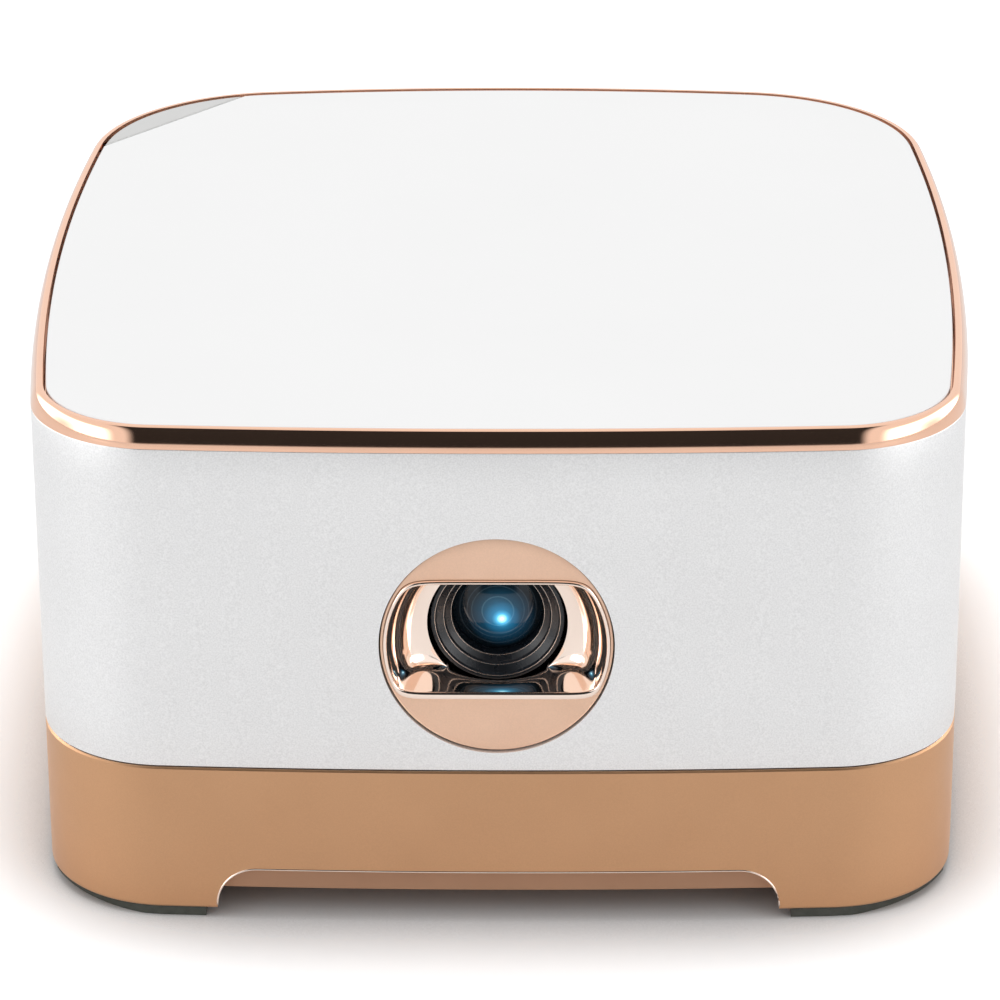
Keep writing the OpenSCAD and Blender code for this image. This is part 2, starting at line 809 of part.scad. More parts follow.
// A light source: copper-core board with its emitter in the housing's window
module led_module(x, tint) {
    color(copper) translate([x - 7.5, led_block_back, lens_z - 11]) cube([15, board_t, 22]);
    color(tint) translate([x - 2, led_block_back - 0.8, lens_z - 2]) cube([4, 1, 4]);
}

module led_red() {
    led_module(led_x[0], "red");
}

module led_green() {
    led_module(led_x[1], "lime");
}

module led_blue() {
    led_module(led_x[2], "blue");
}

module collimators() {
    color(lens_glass) for (x = led_x)
        facing_front([x, led_block_back - 3, lens_z]) intersection() {
            cylinder(r = 6.5, h = 5);
            translate([0, 0, -4]) sphere(r = 9);
        }
}

module dichroic_plates() {
    floor_top = engine_floor + engine_wall;
    color([0.7, 0.75, 0.9]) for (x = led_x) translate([x, engine_front + 13, floor_top])
        rotate([0, 0, 45]) translate([-8, -0.5, 0]) cube([16, 1, 22]);
}

module fly_eye_lens() {
    floor_top = engine_floor + engine_wall;
    color(lens_glass) translate([-15.5, engine_front + 5, floor_top]) cube([2.5, 16, 22]);
}

module cold_plate() {
    low = engine_left + 1;
    color(copper) difference() {
        translate([low, cold_plate_y, lens_z - 15]) cube([-18 - low, cold_plate_d, 30]);
        for (z = pipe_z) translate([low - 1, pipe_y, z]) rotate([0, 90, 0])
            cylinder(r = pipe_r + hair, h = 100);
    }
}

module pipe_elbow(at, turn) {
    translate(at) rotate([0, 0, turn]) rotate_extrude(angle = 90)
        translate([pipe_bend, 0]) circle(r = pipe_r);
}

module heat_pipes() {
    left = pipe_left_x - pipe_bend;
    end_x = -6;
    color(copper) for (z = pipe_z) {
        translate([pipe_left_x, pipe_y, z]) rotate([0, 90, 0])
            cylinder(r = pipe_r, h = -22 - pipe_left_x);
        pipe_elbow([pipe_left_x, pipe_y + pipe_bend, z], 180);
        facing_rear([left, pipe_y + pipe_bend, z])
            cylinder(r = pipe_r, h = fin_mid - pipe_y - 2 * pipe_bend);
        pipe_elbow([pipe_left_x, fin_mid - pipe_bend, z], 90);
        translate([pipe_left_x, fin_mid, z]) rotate([0, 90, 0])
            cylinder(r = pipe_r, h = end_x - pipe_left_x);
    }
}

module fin_stack() {
    color(steel) for (i = [0:fin_count - 1])
        difference() {
            translate([-fan_x - fan_size / 2 + 2 + i * fin_pitch, fin_front, deck_top])
                cube([fin_t, fin_depth, fan_size - 2]);
            for (z = pipe_z) translate([pipe_left_x, fin_mid, z]) rotate([0, 90, 0])
                cylinder(r = pipe_r + hair, h = 100);
        }
}

// ---- Fans ------------------------------------------------------------

// Local Z is the spin axis, and the air leaves at the top
module fan_frame() {
    arm_t = 2;
    half = fan_size / 2;
    color(black_plastic) difference() {
        union() {
            difference() {
                translate([-half, -half, 0]) cube([fan_size, fan_size, fan_t]);
                translate([0, 0, -1]) cylinder(r = fan_bore, h = fan_t + 2);
            }
            translate([0, 0, fan_t - arm_t]) cylinder(r = hub_r - 0.5, h = arm_t);
            for (a = [45:90:315]) rotate([0, 0, a]) translate([hub_r - 3, -1.5, fan_t - arm_t])
                cube([fan_bore - hub_r + 4, 3, arm_t]);
            translate([0, 0, 4]) cylinder(r = 3.2, h = fan_t - 4 - arm_t / 2);
        }
        translate([0, 0, 3]) cylinder(r = fan_shaft_r + running, h = fan_t - 4);
        for (x = [-1, 1], y = [-1, 1]) translate([x * (half - 4), y * (half - 4), -1])
            cylinder(r = 2, h = fan_t + 2);
    }
}

fan_shaft_r = 1.2;

module fan_rotor() {
    blades = 7;
    depth = fan_t - 5;
    color([0.12, 0.12, 0.13]) {
        difference() {
            translate([0, 0, 1]) cylinder(r = hub_r, h = fan_t - 4);
            translate([0, 0, 3]) cylinder(r = hub_r - 2, h = fan_t);
        }
        translate([0, 0, 2]) cylinder(r = fan_shaft_r, h = fan_t - 5);
        for (i = [0:blades - 1]) rotate([0, 0, i * 360 / blades]) intersection() {
            translate([0, 0, 1.5]) tube(fan_bore - 1, hub_r - 1, depth);
            translate([0, 0, 1.5 + depth / 2]) rotate([38, 0, 0])
                translate([hub_r - 2, -0.7, -fan_t]) cube([fan_bore, 1.4, 2 * fan_t]);
        }
    }
}

module left_fan_frame() {
    facing_rear([-fan_x, fan_y, fan_z]) fan_frame();
}

module left_fan_rotor() {
    facing_rear([-fan_x, fan_y, fan_z]) fan_rotor();
}

module right_fan_frame() {
    facing_rear([fan_x, fan_y, fan_z]) fan_frame();
}

module right_fan_rotor() {
    facing_rear([fan_x, fan_y, fan_z]) fan_rotor();
}

// ---- Lens and focus drive --------------------------------------------

module lens_mount() {
    slot = 2 * lens_travel + 2 * pin_r + 0.6;
    color([0.2, 0.2, 0.22]) difference() {
        union() {
            facing_front([0, engine_front, lens_z])
                cylinder(r = mount_r, h = engine_front - ring_mid + ring_w / 2 + 4);
            facing_front([0, engine_front, lens_z]) cylinder(r = mount_r + 1.5, h = 3);
            facing_front([0, plate_y, lens_z]) cylinder(r = keep_r, h = plate_y - collar_y);
            facing_front([0, plate_y, lens_z]) rotate([0, 0, mesh_angle])
                translate([mount_bore + 0.5, -9, 0])
                    cube([mesh_distance + motor_r - mount_bore, 18, plate_y - collar_y]);
        }
        facing_front([0, engine_front + 1, lens_z]) cylinder(r = mount_bore, h = 60);
        facing_front([pinion_c.x, plate_y + 1, lens_z + pinion_c.y]) cylinder(r = 1.6, h = 10);
        for (a = [90, 210, 330]) facing_front([0, ring_mid + slot / 2, lens_z]) rotate([0, 0, a])
            translate([mount_bore - 1, -pin_r - 0.1, 0]) cube([6, 2 * pin_r + 0.2, slot]);
    }
}

module ring_keeper() {
    color(steel) facing_front([0, ring_mid - ring_w / 2 - 0.1, lens_z])
        tube(keep_r, mount_r + hair, 1.3);
}

module focus_ring() {
    groove = 2 * lens_travel + 2 * pin_r + 0.6;
    color("goldenrod") facing_front([0, ring_mid + ring_w / 2, lens_z]) difference() {
        rotate([0, 0, mesh_angle]) linear_extrude(ring_w) polygon(gear_outline(ring_teeth, gear_m));
        translate([0, 0, -1]) cylinder(r = ring_bore, h = ring_w + 2);
        translate([0, 0, (ring_w - groove) / 2]) cylinder(r = groove_r, h = groove);
    }
}

module lens_barrel() {
    body_r = mount_bore - running;
    back = engine_front - 2.3;
    neck = ring_mid - ring_w / 2 - 5.5;
    steps = [[barrel_r - 0.9, 0, 1.7], [barrel_r - 2.3, 1.6, 2.1], [barrel_r - 3.7, 3.6, 2.2],
             [9, 5.7, 7.5], [7.5, 13, 60]];
    color(black_plastic) difference() {
        union() {
            facing_rear([0, lens_front, lens_z]) cylinder(r = barrel_r, h = back - lens_front);
            facing_front([0, back, lens_z]) cylinder(r = body_r, h = back - neck);
        }
        for (s = steps) facing_rear([0, lens_front + s[1] - 0.01, lens_z]) cylinder(r = s[0], h = s[2]);
        facing_front([0, back + 1, lens_z]) cylinder(r = 9, h = 6.5);
        for (a = [90, 210, 330]) facing_front([0, ring_mid, lens_z]) rotate([0, 0, a])
            rotate([0, 90, 0]) translate([0, 0, body_r - 2]) cylinder(r = pin_r + hair, h = 4);
    }
}

module guide_pins() {
    start = mount_bore - running - 2;
    color(steel) for (a = [90, 210, 330]) facing_front([0, ring_mid, lens_z]) rotate([0, 0, a])
        rotate([0, 90, 0]) translate([0, 0, start]) cylinder(r = pin_r, h = pin_tip_r - start);
}

module front_lens() {
    color(lens_glass) facing_front([0, lens_front + 13, lens_z]) intersection() {
        cylinder(r = 8.95, h = 6);
        translate([0, 0, -10]) sphere(r = 16);
    }
}

module rear_lens() {
    color(lens_glass) facing_front([0, engine_front - 3.5, lens_z]) intersection() {
        cylinder(r = 8.95, h = 4.3);
        translate([0, 0, 12]) sphere(r = 14.5);
    }
}

module focus_motor() {
    color(steel) facing_front([pinion_c.x, engine_front - 0.5, lens_z + pinion_c.y]) difference() {
        cylinder(r = motor_r, h = engine_front - 0.5 - plate_y);
        translate([0, 0, 4]) cylinder(r = shaft_r + running, h = 20);
    }
}

module focus_pinion() {
    gear_w = ring_w - 1;
    color("goldenrod") facing_front([pinion_c.x, ring_mid + gear_w / 2, lens_z + pinion_c.y]) {
        rotate([0, 0, mesh_angle + 180 + 180 / pinion_teeth])
            linear_extrude(gear_w) polygon(gear_outline(pinion_teeth, gear_m));
        translate([0, 0, ring_mid + gear_w / 2 - plate_y - 4]) cylinder(r = shaft_r, h = 16);
    }
}

// ---- Speakers --------------------------------------------------------

// Local Z points out of the case, and local Y points up
module speaker() {
    gap_low = -basket_d - magnet_d + 1;
    color([0.2, 0.2, 0.22]) difference() {
        union() {
            translate([-baffle_w / 2, deck_top - speaker_z, 0]) cube([baffle_w, baffle_h, 2]);
            translate([0, 0, -basket_d]) cylinder(r1 = magnet_r, r2 = speaker_r + 2, h = basket_d + 0.1);
            translate([0, 0, -basket_d - magnet_d]) cylinder(r = magnet_r, h = magnet_d + 0.1);
        }
        translate([0, 0, -basket_d + 1]) cylinder(r1 = magnet_r - 1.5, r2 = speaker_r + 0.3, h = basket_d - 0.9);
        translate([0, 0, -1]) cylinder(r = speaker_r + 0.3, h = 5);
        translate([0, 0, gap_low]) tube(8, 5.8, magnet_d + 3);
    }
}

module cone() {
    wall = 0.8;
    low = -basket_d + 3;
    color([0.1, 0.1, 0.11]) {
        difference() {
            translate([0, 0, low]) cylinder(r1 = 7.4, r2 = speaker_r - 1, h = -low);
            translate([0, 0, low + wall]) cylinder(r1 = 6.8, r2 = speaker_r - 1.2, h = -low);
        }
        translate([0, 0, -0.4]) tube(speaker_r, speaker_r - 2, 1.2);
        translate([0, 0, low - 5]) tube(7.3, 6.5, 5.5);
        translate([0, 0, low]) intersection() {
            cylinder(r = 7, h = 6);
            translate([0, 0, -6]) sphere(r = 9);
        }
    }
}

module at_speaker(side) {
    translate([side * speaker_x, speaker_y, speaker_z])
        mirror([side < 0 ? 1 : 0, 0, 0]) rotate([90, 0, 90]) children();
}

module left_speaker() {
    at_speaker(-1) speaker();
}

module left_cone() {
    at_speaker(-1) cone();
}

module right_speaker() {
    at_speaker(1) speaker();
}

module right_cone() {
    at_speaker(1) cone();
}

// ---- Fasteners -------------------------------------------------------

module case_screws() {
    color(steel) at_posts([front_post, side_post, rear_post]) {
        translate([0, 0, floor_gap]) cylinder(r = head_r, h = 1.2);
        translate([0, 0, floor_gap + 1]) cylinder(r = screw_r, h = 11);
    }
}

module inner_screws() {
    color(steel) {
        at_posts([front_post, rear_post]) {
            translate([0, 0, sleeve_top - 1.5]) cylinder(r = head_r, h = 1.3);
            translate([0, 0, sleeve_top - 12]) cylinder(r = screw_r, h = 11);
        }
        for (p = board_holes()) translate([p.x, p.y, board_top]) {
            cylinder(r = 2, h = 1.2);
            translate([0, 0, -4.5]) cylinder(r = 1, h = 4.6);
        }
    }
}

// ---- Output ----------------------------------------------------------

top_glass();
trim_ring();
body_sleeve();
seam_gasket();
base_skirt();
bottom_cover();
front_feet();
rear_feet();
lens_bezel();
lens_pocket();
rear_grille();
io_plate();
power_key();
ir_window();
tripod_insert();
dc_jack();
lan_port();
hdmi_port();
usb_ports();
audio_jack();
mid_frame();
top_carrier();
touch_board();
main_board();
board_parts();
soc_heatsink();
power_board();
engine_housing();
engine_lid();
prism();
dmd_board();
dmd_heatsink();
led_red();
led_green();
led_blue();
collimators();
dichroic_plates();
fly_eye_lens();
cold_plate();
heat_pipes();
fin_stack();
left_fan_frame();
left_fan_rotor();
right_fan_frame();
right_fan_rotor();
lens_mount();
ring_keeper();
focus_ring();
lens_barrel();
guide_pins();
front_lens();
rear_lens();
focus_motor();
focus_pinion();
left_speaker();
left_cone();
right_speaker();
right_cone();
case_screws();
inner_screws();
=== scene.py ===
"""Looks of a home projector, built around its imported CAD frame.

Every length is in metres, in the frame of the CAD model: +Z up, the lens
window towards -Y. Sizes that follow from the CAD are read from its boxes.
"""

import json
import logging
import math
from dataclasses import dataclass, field
from enum import Enum
from typing import Iterable, Optional, Sequence

import bmesh
import bpy
from mathutils import Matrix, Vector


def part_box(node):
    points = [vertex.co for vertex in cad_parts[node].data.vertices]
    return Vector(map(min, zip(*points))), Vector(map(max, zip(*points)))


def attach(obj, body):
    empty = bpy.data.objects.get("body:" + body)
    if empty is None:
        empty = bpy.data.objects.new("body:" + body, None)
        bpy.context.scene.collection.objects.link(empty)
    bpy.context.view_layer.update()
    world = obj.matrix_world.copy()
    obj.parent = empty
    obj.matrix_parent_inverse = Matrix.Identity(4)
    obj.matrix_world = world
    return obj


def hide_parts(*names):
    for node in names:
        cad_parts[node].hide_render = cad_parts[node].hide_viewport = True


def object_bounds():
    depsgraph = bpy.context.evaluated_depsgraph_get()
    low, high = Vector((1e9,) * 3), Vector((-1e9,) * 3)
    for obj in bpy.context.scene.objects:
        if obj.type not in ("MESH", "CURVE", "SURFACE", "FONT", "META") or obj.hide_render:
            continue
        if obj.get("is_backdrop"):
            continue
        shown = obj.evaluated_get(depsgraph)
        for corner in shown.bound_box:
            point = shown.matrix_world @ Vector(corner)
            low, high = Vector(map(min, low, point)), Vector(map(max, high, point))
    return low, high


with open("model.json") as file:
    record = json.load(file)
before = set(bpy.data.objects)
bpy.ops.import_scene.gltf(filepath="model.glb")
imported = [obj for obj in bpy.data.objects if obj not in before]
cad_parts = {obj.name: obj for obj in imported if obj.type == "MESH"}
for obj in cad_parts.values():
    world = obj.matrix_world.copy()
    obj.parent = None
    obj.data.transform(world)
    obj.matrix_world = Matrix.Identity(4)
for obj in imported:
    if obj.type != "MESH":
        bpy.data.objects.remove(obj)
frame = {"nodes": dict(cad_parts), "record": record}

log = logging.getLogger("projector")
MM = 0.001
Colour = tuple[float, float, float]
Pair = tuple[float, float]
Triple = tuple[float, float, float]
Socket = bpy.types.NodeSocket
Mesh = bmesh.types.BMesh
Thing = bpy.types.Object
QUARTERS = (0, 1.57, 3.14, 4.71)


# ---------------------------------------------------------------- materials


class Graph:
    """Builds one node material, with short calls for the common nodes."""

    def __init__(self, name: str) -> None:
        """Makes an empty material with an output and a principled shader.

        Args:
            name: The material's name.
        """
        self.material = bpy.data.materials.new(name)
        self.material.use_nodes = True
        self.tree = self.material.node_tree
        self.shader = self.tree.nodes["Principled BSDF"]
        self.coords = self.add("ShaderNodeTexCoord").outputs["Object"]

    def add(self, kind: str, **settings: object) -> bpy.types.Node:
        """Adds a node and sets its properties.

        Args:
            kind: The node's type name.
            **settings: Properties to set on it.

        Returns:
            The new node.
        """
        node = self.tree.nodes.new(kind)
        for key, value in settings.items():
            setattr(node, key, value)
        return node

    def plug(self, node: bpy.types.Node, socket: str | int, value: object) -> None:
        """Links an output to an input, or writes a constant on it.

        Args:
            node: The node that receives.
            socket: Its input, by name or number.
            value: A socket to link, or a constant.
        """
        target = node.inputs[socket]
        if isinstance(value, Socket):
            self.tree.links.new(value, target)
        elif isinstance(value, tuple) and len(value) == 3 and target.type == "RGBA":
            target.default_value = (*value, 1.0)
        else:
            target.default_value = value

    def set(self, **values: object) -> None:
        """Sets inputs of the shader; an underscore stands for a space."""
        for key, value in values.items():
            self.plug(self.shader, key.replace("_", " "), value)

    def noise(self, size: float, detail: float = 2.0, stretch: Optional[Triple] = None) -> Socket:
        """Gives noise whose lumps are about the given size.

        Args:
            size: The width of one lump.
            detail: How many finer layers are added.
            stretch: Scale along each axis, for brushed or drawn surfaces.

        Returns:
            The factor output.
        """
        node = self.add("ShaderNodeTexNoise")
        source = self.coords
        if stretch:
            mapping = self.add("ShaderNodeMapping")
            self.plug(mapping, "Vector", source)
            mapping.inputs["Scale"].default_value = stretch
            source = mapping.outputs["Vector"]
        self.plug(node, "Vector", source)
        self.plug(node, "Scale", 1.0 / size)
        self.plug(node, "Detail", detail)
        return node.outputs["Fac"]

    def ramp(self, value: Socket, stops: Sequence[tuple[float, Colour]]) -> Socket:
        """Maps a value to colours at the given stops.

        Args:
            value: The input.
            stops: Places from 0 to 1, with their colours.

        Returns:
            The colour output.
        """
        node = self.add("ShaderNodeValToRGB")
        ramp = node.color_ramp
        while len(ramp.elements) < len(stops):
            ramp.elements.new(0.5)
        for element, (at, colour) in zip(ramp.elements, stops):
            element.position = at
            element.color = (*colour, 1.0)
        self.plug(node, "Fac", value)
        return node.outputs["Color"]

    def span(self, value: Socket, low: Pair, high: Pair, smooth: bool = False) -> Socket:
        """Maps a value from one range to another, clamped.

        Args:
            value: The input.
            low: Input and output at the lower end.
            high: Input and output at the upper end.
            smooth: Whether the change eases in and out.

        Returns:
            The mapped value.
        """
        kind = "SMOOTHSTEP" if smooth else "LINEAR"
        node = self.add("ShaderNodeMapRange", interpolation_type=kind)
        self.plug(node, 0, value)
        for index, number in zip((1, 3, 2, 4), (*low, *high)):
            node.inputs[index].default_value = number
        return node.outputs[0]

    def math(self, operation: str, a: object, b: object = 0.0) -> Socket:
        """Applies one arithmetic operation.

        Args:
            operation: The operation's name.
            a: The first input.
            b: The second input.

        Returns:
            The result.
        """
        node = self.add("ShaderNodeMath", operation=operation)
        self.plug(node, 0, a)
        self.plug(node, 1, b)
        return node.outputs[0]

    def axis(self, name: str, source: Optional[Socket] = None) -> Socket:
        """Gives one coordinate of a vector, by default of the place.

        Args:
            name: X, Y or Z.
            source: The vector, if not the place on the object.

        Returns:
            The coordinate.
        """
        node = self.add("ShaderNodeSeparateXYZ")
        self.plug(node, 0, source or self.coords)
        return node.outputs[name]

    def radius(self, centre: Vector) -> Socket:
        """Gives the distance from a line along Y through a centre.

        Args:
            centre: A point of the line.

        Returns:
            The distance.
        """
        dx = self.math("SUBTRACT", self.axis("X"), centre.x)
        dz = self.math("SUBTRACT", self.axis("Z"), centre.z)
        squares = self.math("ADD", self.math("MULTIPLY", dx, dx), self.math("MULTIPLY", dz, dz))
        return self.math("SQRT", squares)

    def bump(self, height: Socket, depth: float, strength: float = 1.0) -> None:
        """Adds surface relief of the given depth to the shader.

        Args:
            height: The relief's pattern.
            depth: Its depth.
            strength: How much of it shows.
        """
        node = self.add("ShaderNodeBump")
        self.plug(node, "Height", height)
        self.plug(node, "Distance", depth)
        self.plug(node, "Strength", strength)
        previous = self.shader.inputs["Normal"]
        if previous.is_linked:
            self.plug(node, "Normal", previous.links[0].from_socket)
        self.plug(self.shader, "Normal", node.outputs[0])


@dataclass(frozen=True)
class Finish:
    """A surface finish: a base colour with mottling, gloss and fine relief."""

    name: str
    colour: Colour
    roughness: float = 0.5
    metallic: float = 0.0
    mottle: float = 0.06
    mottle_size: float = 4 * MM
    grain: float = 0.01 * MM
    grain_size: float = 0.4 * MM
    grain_tint: float = 0.0
    stretch: Optional[Triple] = None
    coat: float = 0.0
    specular: float = 0.5

    def tinted(self, graph: Graph) -> Socket:
        """Gives the mottled base colour.

        Args:
            graph: The material's graph.

        Returns:
            The colour output.
        """
        dark = tuple(c * (1 - self.mottle) for c in self.colour)
        light = tuple(min(1.0, c * (1 + self.mottle * 0.6)) for c in self.colour)
        colour = graph.ramp(graph.noise(self.mottle_size, 4), [(0.3, dark), (0.7, light)])
        if self.grain_tint:
            noise = graph.noise(self.grain_size, 2, self.stretch)
            speck = graph.span(noise, (0.3, 1 - self.grain_tint), (0.7, 1.0))
            node = graph.add("ShaderNodeMix", data_type="RGBA", blend_type="MULTIPLY")
            graph.plug(node, "Factor", 1.0)
            graph.plug(node, 6, colour)
            graph.plug(node, 7, speck)
            colour = node.outputs[2]
        return colour

    def dress(self, graph: Graph) -> None:
        """Sets the shader. Subclasses add to it.

        Args:
            graph: The material's graph.
        """
        wear = graph.noise(self.mottle_size * 0.7, 3)
        graph.set(
            Base_Color=self.tinted(graph),
            Metallic=self.metallic,
            Roughness=graph.span(wear, (0.3, self.roughness * 0.9), (0.7, min(1.0, self.roughness * 1.12))),
            Specular_IOR_Level=self.specular,
        )
        if self.coat:
            graph.set(Coat_Weight=self.coat, Coat_Roughness=0.03)
        if self.grain:
            graph.bump(graph.noise(self.grain_size, 3, self.stretch), self.grain)

    def material(self) -> bpy.types.Material:
        """Returns the material, made on first use.

        Returns:
            The material.
        """
        name = f"finish_{self.name}"
        found = bpy.data.materials.get(name)
        if found:
            return found
        graph = Graph(name)
        self.dress(graph)
        return graph.material


@dataclass(frozen=True)
class Glass(Finish):
    """Clear optical glass with a faint coating tint."""

    def dress(self, graph: Graph) -> None:
        """Sets a transmissive shader with a trace of ripple."""
        super().dress(graph)
        graph.set(Transmission_Weight=0.9, IOR=1.5)


@dataclass(frozen=True)
class Board(Finish):
    """A circuit board: green mask over a faint grid of copper tracks."""

    def dress(self, graph: Graph) -> None:
        """Adds the tracks to the plain finish.

        Args:
            graph: The material's graph.
        """
        super().dress(graph)
        brick = graph.add("ShaderNodeTexBrick")
        graph.plug(brick, "Vector", graph.coords)
        graph.plug(brick, "Scale", 220.0)
        graph.plug(brick, "Mortar Size", 0.06)
        light = tuple(c * 1.7 for c in self.colour)
        graph.plug(brick, "Color1", self.colour)
        graph.plug(brick, "Color2", tuple(c * 0.9 for c in self.colour))
        graph.plug(brick, "Mortar", light)
        graph.set(Base_Color=brick.outputs["Color"])
        graph.bump(brick.outputs["Fac"], 0.03 * MM)


@dataclass(frozen=True)
class PaintedLensGlow(Finish):
    """The front element: dark coated glass with painted light: painted ring reflections and a painted glow
    at its centre, both emitted.
    """

    centre: Vector = field(default_factory=Vector)
    glow_shift: Vector = field(default_factory=lambda: Vector((0.8 * MM, 0, -1.6 * MM)))
    glow: float = 1.6

    def dress(self, graph: Graph) -> None:
        """Adds the painted ring reflections and the painted glow in the middle, both as emission.

        Args:
            graph: The material's graph.
        """
        super().dress(graph)
        r = graph.radius(self.centre)
        # Painted ring reflections: thin lighter bands between dark rings, set by distance from the axis.
        steps = [0, 2.9, 3.1, 3.3, 5.0, 5.15, 5.3, 5.9, 6.05, 6.2, 7.3, 7.5, 7.7]
        painted_ring_tints = [
            (0.03, 0.14, 0.24), (0.012, 0.06, 0.10), (0.06, 0.14, 0.19), (0.010, 0.04, 0.065),
            (0.006, 0.022, 0.036), (0.04, 0.075, 0.10), (0.006, 0.018, 0.030), (0.006, 0.016, 0.026),
            (0.04, 0.06, 0.08), (0.005, 0.012, 0.020), (0.004, 0.010, 0.016), (0.03, 0.04, 0.05),
            (0.004, 0.008, 0.012),
        ]
        scaled = graph.math("DIVIDE", r, 9 * MM)
        rings = graph.ramp(scaled, [(s / 9, t) for s, t in zip(steps, painted_ring_tints)])
        # Painted glow: a cyan-white spot just off the axis, fading outwards.
        near = graph.math("DIVIDE", graph.radius(self.centre + self.glow_shift), 9 * MM)
        painted_glow_core = graph.ramp(
            near,
            [(0.0, (0.85, 1.0, 1.0)), (0.06, (0.45, 0.92, 1.0)), (0.12, (0.08, 0.48, 0.80)),
             (0.22, (0.014, 0.14, 0.28)), (0.42, (0.003, 0.032, 0.065)), (0.75, (0.0, 0.0, 0.0))],
        )
        # The emission is the painted glow plus the ring colours at 15 per cent, so the glass glows though no
        # lamp lights it.
        total = graph.add("ShaderNodeMix", data_type="RGBA", blend_type="ADD")
        graph.plug(total, "Factor", 1.0)
        graph.plug(total, 6, painted_glow_core)
        half = graph.add("ShaderNodeMix", data_type="RGBA")
        graph.plug(half, "Factor", 0.85)
        graph.plug(half, 6, rings)
        graph.plug(half, 7, (0.0, 0.0, 0.0))
        graph.plug(total, 7, half.outputs[2])
        graph.set(
            Base_Color=rings,
            Emission_Color=total.outputs[2],
            Emission_Strength=graph.span(near, (0.04, self.glow), (0.16, 1.0)),
            Specular_IOR_Level=0.25,
            Coat_Weight=0.25,
            Coat_Roughness=0.02,
        )


WHITE_METAL = Finish(
    "white_metal", (0.93, 0.93, 0.935), 0.38, 0.75, 0.012, 30 * MM, 0.02 * MM, 0.32 * MM, 0.14,
)
CHAMPAGNE = Finish(
    "champagne_metal", (0.63, 0.36, 0.20), 0.40, 0.92, 0.02, 20 * MM, 0.01 * MM, 0.3 * MM, 0.05,
)
CHAMPAGNE_SATIN = Finish(
    "champagne_satin", (0.90, 0.61, 0.45), 0.42, 0.9, 0.02, 12 * MM, 0.01 * MM, 0.3 * MM, 0.05,
)
# A darkened copy of the champagne metal: painted shade for the inner wall seen through the notch.
CHAMPAGNE_PAINTED_SHADE = Finish(
    "champagne_paint", (0.44, 0.25, 0.155), 0.5, 0.6, 0.03, 10 * MM, 0.015 * MM, 0.4 * MM,
)
ROSE_GOLD = Finish("rose_gold", (0.93, 0.58, 0.42), 0.07, 1.0, 0.02, 15 * MM, 0.001 * MM, 2 * MM)
# A lighter copy of the rose gold on the same slot: painted light that makes the pocket show brighter.
POCKET_PAINTED_LIGHT_ROSE = Finish("pocket_rose_painted_light", (0.98, 0.82, 0.72), 0.06, 1.0, 0.02, 15 * MM, 0.001 * MM, 2 * MM)
# Bright polished metal: the skirt's cut edge; also the painted highlight on the notch and the painted glints
# on the barrel's steps.
BRIGHT_EDGE = Finish("bright_edge", (0.95, 0.80, 0.70), 0.12, 1.0, 0.02, 10 * MM, 0.001 * MM, 2 * MM)
WHITE_GLASS = Finish(
    "white_glass", (0.93, 0.93, 0.93), 0.10, 0.0, 0.012, 60 * MM, 0.0004 * MM, 12 * MM, coat=0.6,
)
GREY_GLASS = Finish(
    "grey_glass", (0.60, 0.60, 0.59), 0.10, 0.0, 0.02, 8 * MM, 0.0004 * MM, 12 * MM, coat=0.6,
)
GREY_RUBBER = Finish("grey_rubber", (0.06, 0.065, 0.055), 0.75, 0.0, 0.2, 2 * MM, 0.05 * MM, 0.6 * MM)
BLACK_RUBBER = Finish("black_rubber", (0.012, 0.012, 0.012), 0.8, 0.0, 0.2, 2 * MM, 0.03 * MM, 0.6 * MM)
BLACK_PLASTIC = Finish("black_plastic", (0.016, 0.016, 0.018), 0.42, 0.0, 0.15, 3 * MM, 0.02 * MM, 0.35 * MM)
LENS_BLACK = Finish("lens_black", (0.010, 0.014, 0.020), 0.28, 0.0, 0.15, 3 * MM, 0.004 * MM, 0.5 * MM)
GREY_PLASTIC = Finish("grey_plastic", (0.09, 0.09, 0.095), 0.5, 0.0, 0.12, 4 * MM, 0.02 * MM, 0.5 * MM)
DARK_ACRYLIC = Finish("dark_acrylic", (0.03, 0.008, 0.012), 0.08, 0.0, 0.1, 6 * MM, 0.001 * MM, 3 * MM)
BRASS = Finish("brass", (0.72, 0.50, 0.20), 0.28, 1.0, 0.08, 3 * MM, 0.01 * MM, 0.3 * MM, stretch=(1, 1, 8))
NICKEL = Finish(
    "nickel", (0.62, 0.61, 0.58), 0.24, 1.0, 0.05, 3 * MM, 0.006 * MM, 0.4 * MM, stretch=(1, 6, 1),
)
STEEL = Finish("steel", (0.45, 0.45, 0.47), 0.35, 1.0, 0.1, 2 * MM, 0.01 * MM, 0.3 * MM)
CONTACT_GOLD = Finish("contact_gold", (0.95, 0.68, 0.26), 0.2, 1.0, 0.05, 1 * MM, 0.002 * MM, 0.3 * MM)
CIRCUIT_BOARD = Board("circuit_board", (0.02, 0.10, 0.045), 0.35, 0.0, 0.1, 5 * MM, 0.0)
BLACK_EPOXY = Finish("black_epoxy", (0.02, 0.02, 0.022), 0.6, 0.0, 0.2, 1 * MM, 0.02 * MM, 0.3 * MM)
BARE_ALUMINIUM = Finish(
    "bare_aluminium", (0.65, 0.66, 0.67), 0.35, 1.0, 0.05, 5 * MM, 0.01 * MM, 0.4 * MM, stretch=(1, 1, 9),
)
DIE_CAST = Finish("die_cast", (0.30, 0.30, 0.31), 0.5, 0.9, 0.1, 4 * MM, 0.04 * MM, 0.8 * MM)
OPTICAL_GLASS = Glass("optical_glass", (0.9, 0.95, 1.0), 0.03, 0.0, 0.01, 5 * MM, 0.0)
COPPER_BOARD = Finish("copper_board", (0.60, 0.27, 0.15), 0.35, 1.0, 0.1, 3 * MM, 0.01 * MM, 0.4 * MM)
